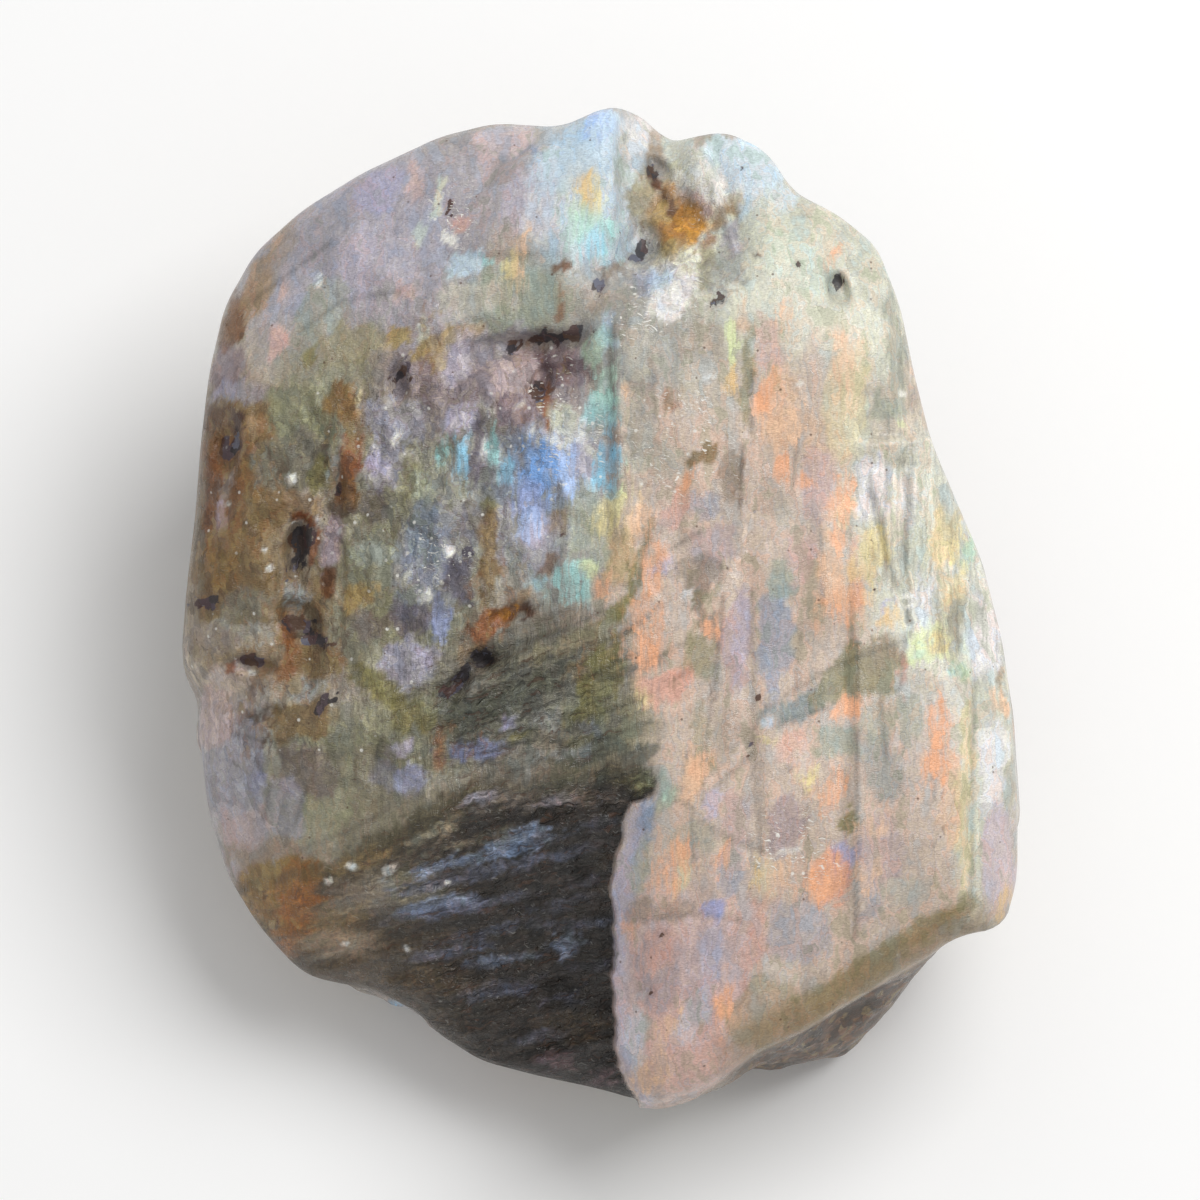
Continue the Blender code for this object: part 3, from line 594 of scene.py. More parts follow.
upperPatches = [
    (505, 140, 34, 16, 10, "pinkMist", .5), (484, 165, 34, 9, 88, "pinkMist", .4),
    (575, 150, 46, 26, 38, "paleBlue", .9), (600, 125, 22, 14, 60, "skyMist", .8),
    (530, 200, 34, 26, 80, "lilacGrey", .5), (540, 215, 30, 20, 80, "whiteGrey", .4),
    (525, 150, 12, 3, 15, "steel", .6), (636, 130, 24, 17, 80, "whiteGrey", .85),
    (640, 192, 28, 11, 80, "khaki", .8), (654, 150, 12, 7, 70, "tan", .6),
    (625, 160, 40, 6, 85, "sage", .5), (680, 144, 17, 13, 0, "cream", .9),
    (688, 171, 19, 10, 0, "goldCream", .85), (712, 200, 18, 12, 0, "tan", .6),
    (726, 212, 20, 11, 60, "tan", .7), (732, 240, 18, 13, 60, "mauve", .8),
    (676, 246, 16, 11, 60, "ochre", .7), (745, 160, 44, 30, 0, "iceMist", .95),
    (765, 205, 30, 16, 20, "iceMist", .6), (775, 230, 34, 26, -20, "cream", .8),
    (800, 262, 40, 22, -25, "mintMist", .6), (668, 292, 30, 26, 70, "whiteGrey", .85),
    (658, 280, 14, 12, 60, "paleBlue", .7), (640, 282, 15, 13, 90, "dustBlue", .7),
    (722, 270, 24, 18, 0, "grey", .7), (706, 265, 10, 22, 0, "khaki", .5),
    (612, 268, 16, 9, 30, "taupe", .8), (560, 267, 14, 5, 25, "brown", .8),
    (560, 300, 24, 4, 88, "rust", .6), (520, 292, 42, 18, 5, "sage", .8),
    (480, 300, 40, 16, 5, "creamGrey", .6), (470, 264, 24, 10, 5, "paleBlue", .7),
    (600, 300, 20, 9, 60, "taupe", .5), (608, 330, 26, 8, 88, "paleBlue", .6),
    (460, 330, 25, 8, 5, "tan", .6), (500, 345, 34, 16, 20, "mauve", .6), (556, 368, 30, 22, 0, "plum", .6),
    (548, 362, 8, 22, 88, "plumDark", .6), (574, 372, 7, 20, 88, "wine", .5),
    (520, 385, 35, 26, 90, "mauvePink", .7), (517, 412, 24, 16, 0, "plum", .6),
    (455, 355, 26, 14, 80, "lilacGrey", .6), (440, 345, 22, 7, 80, "ochre", .6),
    (547, 408, 24, 5, 85, "rust", .85), (566, 418, 16, 14, 0, "cream", .7),
    (598, 412, 22, 14, 90, "aquaGrey", .85), (600, 345, 20, 10, 60, "mint", .5),
    (640, 350, 30, 16, 88, "creamGrey", .6), (868, 275, 40, 8, 100, "cream", .6),
    (741, 320, 14, 8, 90, "peach", .6), (747, 385, 48, 6, 88, "moss", .6),
    (768, 345, 26, 14, 90, "sandPink", .6), (815, 445, 24, 12, 90, "peach", .5),
    (872, 350, 42, 12, 92, "cream", .8), (896, 366, 66, 8, 94, "sage", .6),
    (884, 407, 16, 12, 60, "sage", .7), (672, 399, 14, 9, 90, "rust", .5),
    (700, 345, 26, 20, 0, "beige", .6), (690, 385, 24, 16, 80, "creamGrey", .5),
]
middlePatches = [
    (545, 470, 66, 40, 0, "dustBlue", .55), (430, 560, 60, 40, 88, "mauve", .35),
    (520, 535, 40, 30, 0, "lilacGrey", .35), (590, 440, 26, 14, -30, "whiteGrey", .5),
    (555, 440, 22, 8, -10, "whiteGrey", .45), (461, 418, 19, 14, 80, "lilacGrey", .8),
    (446, 452, 14, 6, 88, "sage", .7), (478, 452, 24, 9, 88, "plumGrey", .85),
    (486, 457, 14, 3, 88, "whiteGrey", .6), (575, 462, 28, 18, 0, "lilacGrey", .7),
    (533, 526, 18, 14, 80, "lilacGrey", .8), (583, 525, 38, 16, 86, "sage", .75),
    (556, 520, 12, 16, 0, "tan", .6), (487, 505, 8, 8, 0, "moss", .8),
    (489, 556, 46, 10, 88, "oliveBrown", .85), (512, 560, 20, 8, 88, "grey", .8),
    (472, 520, 20, 9, 70, "plumGrey", .5), (548, 565, 12, 8, 60, "brown", .6),
    (535, 584, 12, 8, 0, "aquaGrey", .7), (520, 600, 16, 8, 60, "tan", .6),
    (457, 578, 26, 17, 90, "plumGrey", .8), (620, 560, 34, 18, 80, "sandGold", .7),
    (600, 545, 24, 8, 80, "sage", .5), (420, 588, 20, 9, 62, "creamGrey", .85),
    (408, 605, 20, 14, 60, "teal", .5), (424, 550, 46, 22, 88, "dustBlue", .5),
    (421, 530, 30, 18, 88, "teal", .5), (412, 485, 20, 12, 88, "moss", .4),
    (424, 490, 16, 14, 0, "sage", .6), (375, 552, 22, 16, 0, "sage", .5),
    (360, 598, 17, 12, 30, "ochre", .8), (328, 587, 12, 9, 80, "rustDark", .85),
    (368, 505, 18, 14, 0, "brownGrey", .6), (412, 620, 22, 18, 0, "plumGrey", .75),
    (375, 625, 22, 14, 0, "brownGrey", .7), (441, 626, 18, 9, 80, "dustBlue", .7),
    (405, 668, 28, 24, 30, "mauve", .8), (430, 655, 16, 12, 30, "lilacGrey", .5),
    (492, 620, 32, 14, 28, "rust", .85), (524, 612, 10, 6, 20, "umber", .9),
    (465, 650, 16, 8, 40, "tan", .5), (375, 685, 30, 14, -30, "moss", .8),
    (410, 718, 22, 16, 0, "moss", .75), (435, 700, 22, 10, 20, "olive", .6),
    (440, 752, 20, 6, 85, "rust", .6), (475, 751, 34, 13, 3, "steelMist", .9),
    (399, 782, 26, 17, -8, "lilacMist", .85), (400, 750, 16, 6, 10, "lilacGrey", .6),
    (375, 780, 24, 38, 0, "greyOlive", .7), (508, 720, 10, 6, 20, "lilac", .6),
    (520, 737, 12, 6, 20, "moss", .8), (547, 720, 12, 12, 0, "grey", .6),
    (588, 727, 14, 8, 0, "blueGrey", .5), (575, 715, 22, 9, 60, "moss", .7),
    (475, 712, 30, 18, 24, "slopeDark", .8), (540, 665, 60, 20, 24, "slope", .7),
    (520, 695, 60, 14, 24, "slopeDark", .7), (600, 690, 40, 16, 50, "moss", .7),
    (560, 690, 50, 8, 30, "slope", .6), (600, 655, 40, 8, 35, "oliveBrown", .5),
    (575, 640, 50, 10, 22, "khaki", .5), (610, 630, 26, 9, 50, "khaki", .6),
    (594, 671, 26, 8, 60, "moss", .85), (625, 600, 60, 3, 78, "moss", .7),
    (500, 662, 16, 24, 30, "slopeDark", .5), (560, 735, 60, 8, 14, "slope", .8),
    (385, 826, 60, 22, 26, "greyOlive", .7), (440, 800, 34, 12, 28, "greyOlive", .6),
    (520, 762, 46, 10, 16, "slope", .7), (600, 750, 46, 10, 10, "slopeDark", .8),
    (640, 755, 22, 9, 20, "slope", .8), (555, 755, 30, 5, 12, "grey", .5),
    (470, 738, 30, 5, 5, "slopeDark", .7), (340, 845, 34, 10, 20, "greyOlive", .6),
    (430, 820, 40, 7, 30, "slopeDark", .5),
]
leftPatches = [
    (262, 275, 70, 14, 58, "tan", .7), (245, 470, 90, 34, 84, "ochreDark", .65),
    (235, 590, 50, 30, 84, "oliveBrown", .6), (228, 320, 30, 12, 72, "brown", .7),
    (225, 370, 30, 20, 85, "plum", .6), (283, 278, 17, 6, 88, "sandPink", .8),
    (274, 345, 16, 7, 88, "sandPink", .85), (309, 356, 10, 7, 40, "moss", .7),
    (377, 190, 26, 20, 30, "lilac", .4), (330, 225, 30, 20, 30, "mauve", .5),
    (413, 180, 20, 8, 80, "sandPink", .5), (405, 293, 12, 10, 0, "sandPink", .5),
    (436, 193, 18, 5, 85, "cream", .7), (420, 230, 12, 5, 70, "cream", .6),
    (445, 238, 9, 7, 90, "white", .6), (456, 222, 9, 8, 0, "pink", .5), (370, 335, 20, 4, 88, "cream", .6),
    (300, 250, 40, 26, 50, "mauve", .5), (350, 270, 40, 20, 60, "lilacGrey", .5),
    (320, 310, 40, 22, 60, "sage", .5), (350, 345, 34, 20, 30, "khaki", .6),
    (421, 327, 10, 4, 88, "cream", .6), (396, 340, 11, 8, 60, "ochre", .8),
    (421, 352, 12, 6, 70, "ochre", .8), (235, 392, 30, 12, 10, "mauve", .6),
    (300, 412, 36, 32, 0, "olive", .85), (224, 422, 20, 15, 0, "umberSoft", .85),
    (238, 425, 16, 6, 84, "umber", .8), (256, 424, 10, 12, 0, "tan", .7),
    (213, 500, 60, 9, 86, "rustDark", .8), (232, 505, 44, 7, 80, "brown", .7),
    (226, 485, 18, 6, 80, "taupe", .8), (222, 520, 22, 6, 86, "mauvePink", .6),
    (222, 560, 30, 22, 80, "ochreDark", .85), (246, 545, 44, 14, 84, "oliveBrown", .6),
    (288, 462, 40, 30, 20, "greyOlive", .85), (320, 474, 18, 14, 30, "moss", .7),
    (334, 467, 14, 8, 80, "grey", .7), (297, 504, 24, 15, 0, "tan", .85),
    (268, 510, 14, 16, 0, "oliveBrown", .6), (302, 520, 12, 6, 0, "rust", .95),
    (343, 405, 18, 16, 60, "ochreDark", .85), (360, 395, 16, 3, 85, "goldCream", .7),
    (350, 470, 30, 11, 80, "rust", .9), (346, 494, 12, 14, 0, "ochreDark", .6),
    (337, 510, 12, 8, 0, "umberSoft", .7), (392, 420, 30, 20, 0, "mauve", .7),
    (386, 465, 26, 18, 70, "mauve", .6), (380, 462, 12, 9, 70, "lilacGrey", .6),
    (312, 548, 20, 4, 84, "rust", .8), (330, 545, 24, 13, 85, "mauvePink", .75),
    (295, 596, 16, 11, 0, "grey", .7), (245, 612, 26, 24, 0, "greyOlive", .7),
    (240, 635, 44, 16, 0, "creamGrey", .35), (287, 632, 14, 8, 80, "amberDark", .9),
    (292, 660, 24, 12, 76, "amberDark", .7), (320, 665, 24, 18, 0, "oliveBrown", .8),
    (226, 682, 24, 17, 0, "sand", .7), (228, 667, 5, 4, 0, "rust", .8), (310, 690, 20, 9, 0, "grey", .7),
    (262, 712, 18, 6, 22, "brownGrey", .85), (245, 728, 8, 6, 0, "umber", .8),
    (262, 738, 9, 7, 0, "umberSoft", .8), (300, 722, 32, 18, 10, "oliveBrown", .8),
    (305, 772, 30, 26, 0, "brownGrey", .75), (230, 770, 34, 52, 0, "mauve", .8),
    (215, 720, 18, 30, 0, "sandPink", .4), (251, 786, 12, 11, -20, "lilacMist", .85),
    (285, 810, 20, 30, 10, "mauve", .5), (262, 855, 44, 14, 10, "taupe", .6),
    (240, 830, 30, 20, 0, "mauvePink", .5), (280, 895, 48, 34, 10, "ochreDark", .9),
    (262, 900, 30, 18, 0, "amberDark", .5), (295, 880, 24, 14, 30, "amberDark", .6),
    (200, 640, 14, 40, 88, "taupe", .6), (196, 575, 10, 30, 88, "ochreDark", .6),
    (330, 760, 14, 20, 0, "greyOlive", .5), (212, 450, 14, 40, 88, "brown", .5),
]
rightPatches = [
    (660, 462, 36, 18, 0, "creamGrey", .7), (703, 455, 20, 7, 25, "oliveBrown", .85),
    (730, 474, 28, 11, 88, "taupe", .75), (707, 508, 15, 13, 0, "mauve", .7),
    (672, 517, 14, 13, 60, "sandPink", .7), (615, 506, 15, 11, 60, "khaki", .5),
    (715, 546, 26, 20, 20, "mauvePink", .7), (748, 537, 28, 12, 88, "sand", .7),
    (665, 570, 12, 10, 30, "lilacGrey", .8), (702, 584, 34, 14, 60, "brownGrey", .65),
    (708, 598, 15, 7, 25, "oliveDark", .5), (692, 566, 16, 9, 30, "taupe", .6),
    (686, 597, 9, 6, 80, "whiteGrey", .8), (708, 618, 14, 14, 0, "taupe", .8),
    (673, 622, 28, 11, 75, "sand", .7), (700, 656, 24, 18, 70, "khaki", .75),
    (664, 683, 26, 12, 20, "pink", .75), (637, 573, 44, 6, 76, "oliveDark", .65),
    (617, 613, 22, 8, 55, "moss", .75), (737, 645, 54, 15, 88, "mauvePink", .85),
    (742, 640, 46, 7, 88, "lilacGrey", .5), (776, 634, 58, 18, 88, "dustBlue", .75),
    (782, 578, 20, 17, 0, "sage", .7), (802, 556, 28, 15, 80, "sandPink", .75),
    (830, 572, 42, 10, 88, "peach", .6), (846, 515, 14, 7, 80, "goldCream", .6),
    (856, 575, 44, 6, 88, "pink", .6), (812, 620, 30, 12, 80, "beige", .6),
    (790, 522, 18, 12, 0, "creamGrey", .5), (770, 500, 20, 16, 88, "beige", .6),
    (812, 500, 26, 12, 88, "mauvePink", .6), (868, 668, 42, 26, 25, "khaki", .85),
    (838, 672, 22, 12, 30, "khaki", .7), (885, 650, 22, 16, 20, "taupe", .4),
    (800, 706, 38, 13, 28, "teal", .8), (830, 690, 20, 10, 30, "khaki", .7),
    (771, 724, 9, 6, 70, "paleBlue", .7), (788, 748, 16, 12, 30, "pink", .5),
    (838, 742, 22, 16, 0, "sage", .7), (882, 770, 30, 17, 90, "grey", .7),
    (880, 720, 24, 16, 60, "sage", .5), (910, 715, 26, 10, 88, "sage", .5),
    (906, 675, 22, 4, 88, "pink", .6), (785, 826, 27, 20, 88, "mauvePink", .9),
    (785, 826, 27, 20, 88, "taupe", .25), (850, 817, 12, 9, 60, "moss", .75),
    (843, 856, 18, 13, 70, "lilac", .75), (832, 878, 24, 19, 90, "salmon", .7),
    (763, 880, 22, 11, 88, "goldCream", .45), (729, 872, 24, 14, 88, "mauve", .6),
    (736, 820, 30, 14, 88, "mauvePink", .6), (712, 802, 14, 7, 80, "lilacGrey", .7),
    (722, 735, 40, 12, 75, "beige", .6), (742, 740, 16, 12, 40, "taupe", .5),
    (700, 745, 40, 10, 85, "khaki", .5), (693, 782, 20, 11, 88, "peach", .6),
    (665, 798, 26, 9, 80, "sage", .8), (644, 822, 26, 15, 75, "dustBlue", .9),
    (630, 868, 40, 12, 80, "lilacGrey", .8), (640, 870, 30, 10, 80, "sage", .6),
    (619, 940, 50, 6, 90, "lilacGrey", .8), (681, 872, 20, 8, 85, "goldCream", .6),
    (690, 835, 24, 14, 10, "sage", .4), (660, 910, 34, 10, 0, "taupe", .55),
    (655, 972, 42, 24, 90, "mauvePink", .9), (665, 948, 22, 12, 85, "pink", .4),
    (702, 975, 44, 20, 90, "mauvePink", .8), (712, 960, 34, 10, 88, "lilacGrey", .6),
    (735, 1000, 26, 12, 80, "pink", .6), (757, 925, 34, 11, 88, "pink", .5),
    (800, 930, 32, 30, 0, "mauve", .5), (690, 1020, 24, 12, 60, "paleBlue", .3),
    (775, 975, 26, 20, 0, "creamGrey", .5), (715, 906, 15, 12, 0, "lilac", .85),
    (635, 1040, 40, 10, 90, "paleBlue", .5), (880, 850, 40, 20, 88, "mauvePink", .6),
    (870, 905, 26, 12, 88, "mauve", .5), (925, 850, 40, 16, 88, "sand", .7),
    (950, 800, 40, 12, 90, "peach", .5), (905, 890, 24, 14, 20, "creamGrey", .6),
    (966, 790, 110, 7, 89, "goldCream", .6), (995, 770, 60, 14, 90, "whiteGrey", .8),
    (1000, 860, 56, 18, 88, "pinkMist", .8), (985, 640, 48, 15, 88, "whiteGrey", .9),
    (985, 700, 24, 12, 88, "cream", .7), (1003, 700, 24, 5, 88, "tan", .6),
    (873, 490, 34, 17, 84, "whiteGrey", .9), (920, 530, 62, 22, 84, "cream", .9),
    (905, 500, 30, 12, 88, "whiteGrey", .6), (945, 535, 32, 14, 75, "goldCream", .8),
    (972, 550, 14, 7, 70, "mint", .7), (952, 620, 32, 12, 86, "khaki", .55),
    (950, 588, 18, 12, 80, "goldCream", .6), (888, 602, 9, 8, 0, "lilac", .6),
    (925, 610, 34, 10, 88, "whiteGrey", .7), (895, 560, 44, 9, 88, "creamGrey", .5),
    (868, 556, 32, 13, 75, "goldCream", .7), (925, 682, 22, 12, 0, "creamGrey", .7),
    (953, 672, 12, 8, 0, "mint", .6), (860, 430, 24, 12, 90, "cream", .7),
    (820, 470, 30, 16, 88, "sandPink", .6), (780, 410, 40, 22, 88, "peach", .5),
    (845, 400, 60, 22, 85, "goldCream", .5), (810, 380, 40, 12, 88, "sand", .7),
    (720, 410, 30, 14, 88, "creamGrey", .5), (640, 430, 40, 16, 90, "creamGrey", .5),
    (760, 1010, 40, 30, 40, "khaki", .5), (850, 985, 60, 18, 32, "khaki", .8),
    (800, 1030, 50, 12, 34, "oliveBrown", .6), (925, 930, 46, 13, 28, "khaki", .8),
    (960, 905, 24, 10, 30, "moss", .5),
]
# Patches of the hollow: the strokes in the hollow colour and the lip stroke at the ridge's tip are painted
# shade
hollowPatches = [
    (345, 864, 30, 9, 15, "oliveBrown", .7), (632, 778, 18, 9, 60, "lip", .9),
    (646, 784, 14, 10, 60, "oliveDark", .6), (500, 800, 40, 10, 14, "brownGrey", .6),
    (478, 800, 16, 6, 0, "lilacGrey", .5), (560, 785, 40, 8, 8, "slopeDark", .6),
    (440, 830, 30, 8, 25, "greyOlive", .5), (400, 890, 50, 24, 14, "greyOlive", .45),
    (360, 900, 34, 22, 10, "taupe", .35), (330, 930, 44, 30, 0, "oliveBrown", .6),
    (545, 798, 34, 8, 8, "brownGrey", .6), (556, 800, 16, 6, -10, "lilacGrey", .45),
    (600, 800, 24, 10, 10, "brownGrey", .4), (524, 836, 24, 9, 16, "steel", .85),
    (505, 850, 50, 7, 14, "steel", .9), (460, 864, 46, 6, 14, "steel", .6),
    (470, 842, 50, 7, 15, "greyOlive", .35), (450, 880, 60, 6, 12, "slate", .5),
    (540, 860, 40, 5, 12, "slate", .6), (594, 825, 16, 6, 20, "slate", .5),
    (580, 850, 24, 7, 10, "slate", .4), (482, 905, 50, 7, 12, "slate", .6),
    (420, 915, 40, 8, 10, "slate", .5), (563, 905, 40, 6, 14, "slate", .4),
    (480, 935, 60, 5, 10, "slate", .45), (563, 949, 20, 9, 30, "steel", .8),
    (497, 963, 32, 6, 10, "steel", .6), (440, 955, 40, 6, 10, "slate", .5),
    (500, 991, 40, 8, 8, "slate", .5), (563, 1000, 24, 6, 12, "slate", .4),
    (540, 1040, 34, 6, 8, "slate", .4), (563, 1067, 20, 10, 0, "plumDark", .7),
    (604, 1083, 16, 10, 0, "plumDark", .7), (580, 1030, 40, 16, 0, "mud", .6),
    (272, 898, 40, 38, -20, "ochreDark", .9), (296, 905, 26, 22, 60, "amberDark", .8),
    (290, 940, 18, 20, 0, "amberDark", .6), (380, 975, 50, 16, 0, "mud", .7),
    (340, 945, 30, 16, 0, "taupe", .4), (604, 940, 60, 8, 90, "hollow", .5),
    (600, 880, 40, 10, 90, "mud", .5), (440, 985, 50, 12, 0, "mud", .5), (430, 905, 30, 7, 14, "steel", .6),
    (600, 905, 30, 14, 10, "hollow", .5), (585, 880, 24, 5, 10, "slate", .5),
    (590, 925, 24, 6, 10, "slate", .5), (580, 970, 26, 5, 10, "slate", .4),
    (560, 882, 40, 8, 12, "hollow", .8), (470, 922, 50, 6, 12, "hollow", .7),
    (540, 975, 44, 7, 10, "hollow", .7), (470, 975, 40, 6, 8, "hollow", .6),
    (420, 945, 30, 8, 8, "mud", .6), (600, 830, 26, 10, 20, "hollow", .6),
    (380, 915, 30, 6, 14, "hollow", .4),
]
# Play of colour, in the same way: it breaks up along the fibres
flashes = [
    (603, 135, 34, 13, 75, "ice", .7), (570, 165, 40, 18, 35, "paleBlue", .7),
    (592, 200, 24, 13, 90, "yellow", .95), (585, 188, 14, 9, 90, "gold", .95),
    (596, 232, 24, 20, 80, "aqua", .85), (580, 228, 20, 16, 90, "mint", .7),
    (592, 245, 14, 12, 90, "sky", .8), (490, 262, 10, 6, 0, "aqua", .7),
    (521, 250, 20, 6, 80, "peach", .85), (510, 262, 12, 6, 90, "yellow", .7),
    (607, 385, 22, 10, 90, "mint", .7), (840, 296, 8, 8, 0, "cream", .5),
    (835, 256, 13, 7, 90, "orange", .8), (785, 320, 14, 10, 90, "peach", .8),
    (734, 345, 14, 4, 90, "lime", .8), (731, 330, 8, 4, 90, "lime", .7), (733, 382, 11, 5, 80, "gold", .9),
    (764, 393, 19, 9, 88, "orange", .95), (783, 428, 22, 17, 20, "peach", .9),
    (784, 461, 19, 9, 78, "orange", .95), (805, 481, 7, 6, 90, "orange", .95),
    (843, 360, 24, 15, 80, "peach", .85), (900, 420, 8, 5, 90, "lime", .5),
    (626, 392, 11, 6, 90, "peach", .6), (687, 483, 11, 5, 88, "orange", .9),
    (674, 512, 14, 12, 60, "pink", .7), (624, 489, 16, 5, 88, "lime", .7),
    (612, 513, 22, 15, 60, "yellow", .8), (640, 519, 12, 9, 50, "peach", .9),
    (606, 462, 28, 9, 88, "sky", .95), (604, 480, 8, 7, 0, "sky", .9), (597, 400, 20, 14, 80, "aqua", .45),
    (540, 466, 24, 18, 86, "blue", .95), (566, 470, 22, 9, 86, "skyMist", .7),
    (528, 497, 16, 12, 80, "violet", .85), (530, 524, 16, 12, 70, "skyMist", .5),
    (507, 470, 13, 6, 85, "sky", .9), (495, 447, 20, 5, 88, "aqua", .8), (461, 455, 21, 7, 88, "sky", .75),
    (443, 450, 12, 8, 80, "aqua", .7), (572, 582, 22, 17, 20, "aqua", .65),
    (589, 570, 10, 8, 60, "lime", .9), (603, 583, 11, 10, 0, "orange", .8),
    (650, 584, 38, 12, 80, "orange", .95), (645, 645, 22, 16, 60, "orange", .8),
    (661, 688, 16, 15, 40, "pink", .85), (712, 626, 11, 9, 60, "orange", .8),
    (507, 612, 12, 8, 30, "amber", .8), (440, 624, 24, 9, 80, "violet", .55),
    (671, 866, 28, 17, 70, "orange", .6), (720, 860, 12, 6, 60, "orange", .7),
    (627, 927, 9, 5, 80, "orange", .7), (650, 1075, 26, 16, 30, "peach", .7),
    (727, 1000, 24, 6, 75, "orange", .9), (691, 778, 25, 9, 88, "peach", .85),
    (841, 526, 36, 9, 88, "orange", .75), (832, 585, 22, 12, 88, "peach", .8),
    (840, 605, 26, 18, 90, "orange", .7), (855, 592, 28, 6, 88, "orange", .8),
    (868, 557, 30, 14, 70, "yellow", .6), (884, 622, 12, 9, 30, "gold", .9),
    (926, 648, 19, 16, 20, "lime", .95), (921, 651, 8, 6, 0, "mint", .8), (936, 645, 8, 7, 0, "gold", .7),
    (962, 545, 24, 10, 80, "yellow", .5), (972, 545, 10, 5, 80, "mint", .6),
    (899, 677, 6, 4, 60, "pink", .8), (842, 711, 15, 9, 40, "orange", .9),
    (940, 745, 38, 11, 88, "orange", .85), (930, 768, 14, 8, 85, "orange", 1),
    (1003, 905, 16, 9, 60, "gold", .7), (1000, 705, 16, 8, 88, "peach", .6),
    (833, 789, 22, 10, 70, "orange", .9), (766, 743, 9, 7, 0, "yellow", .9),
    (810, 775, 14, 8, 40, "yellow", .8), (827, 875, 26, 18, 60, "orange", .85),
    (785, 875, 14, 8, 80, "peach", .6), (758, 870, 14, 6, 88, "gold", .6),
    (870, 880, 14, 8, 80, "peach", .6), (871, 828, 12, 10, 0, "peach", .6),
    (642, 697, 10, 8, 60, "yellow", .6), (668, 795, 14, 5, 80, "mint", .35),
    (700, 760, 14, 8, 85, "orange", .5), (645, 950, 26, 10, 85, "pink", .5),
    (665, 1030, 26, 9, 70, "peach", .5),
]
# Amber stains, dark grains and pale chips, laid on last
stains = [
    (650, 200, 26, 14, 80, "khaki", .6), (668, 202, 24, 15, 50, "amber", .8),
    (684, 222, 28, 19, 30, "amber", .95), (690, 230, 14, 9, 0, "amberGlow", .9),
    (662, 208, 14, 10, 60, "ochre", .8), (658, 182, 20, 5, -55, "brownDeep", .95),
    (668, 200, 12, 4, -50, "brownDeep", .8), (706, 246, 12, 7, 60, "rust", .7),
    (672, 248, 12, 8, 60, "ochre", .8), (700, 176, 40, 20, -42, "white", .98),
    (682, 156, 14, 10, -30, "cream", .8), (716, 196, 20, 8, -42, "white", .7),
    (700, 200, 18, 5, -42, "sandPink", .8), (690, 172, 14, 4, -42, "goldCream", .7),
    (728, 212, 12, 7, -40, "tan", .6), (756, 252, 6, 4, 0, "umber", .7), (822, 602, 8, 6, 0, "orange", .8),
    (286, 885, 16, 10, 0, "umber", .6),
]
grains = [
    (592, 292, 8, 6, 0, "plumDark", .9), (545, 338, 42, 6, 8, "wine", .95),
    (512, 349, 10, 6, 30, "char", .9), (541, 388, 9, 7, 60, "wine", .95), (651, 167, 8, 5, 30, "char", .9),
    (641, 245, 12, 9, 40, "slate", .9), (630, 252, 8, 6, 30, "char", .8), (718, 298, 6, 4, 60, "slate", .7),
    (740, 163, 8, 4, 20, "steel", .7), (838, 284, 13, 8, 95, "plumDark", .95),
    (797, 262, 3, 3, 0, "umber", .8), (562, 530, 4, 3, 60, "char", .95), (482, 660, 11, 9, 30, "umber", 1),
    (458, 679, 11, 8, 40, "char", .95), (447, 693, 10, 5, 45, "char", .95),
    (450, 208, 5, 5, 0, "umber", .9), (399, 378, 12, 9, 70, "slate", .85),
    (226, 450, 13, 9, 88, "char", .95), (337, 488, 7, 4, 60, "umber", .9),
    (297, 552, 27, 11, 85, "char", .97), (200, 598, 16, 6, 0, "umber", .95),
    (297, 620, 15, 9, -20, "char", .97), (310, 640, 14, 5, -40, "char", .9),
    (326, 645, 10, 4, -10, "umber", .85), (250, 664, 12, 5, 0, "slate", .85),
    (325, 704, 11, 5, 50, "umber", .9), (651, 994, 4, 4, 0, "plumDark", .9),
    (665, 934, 3, 2, 0, "plumDark", .8), (758, 694, 3, 3, 0, "char", .9), (753, 742, 3, 3, 0, "char", .9),
    (747, 753, 3, 3, 0, "char", .9), (786, 766, 3, 3, 0, "char", .9), (876, 586, 3, 3, 0, "char", .9),
    (465, 549, 6, 5, 0, "slate", .8), (236, 440, 16, 5, 80, "char", .6), (255, 660, 10, 4, 20, "char", .7),
]
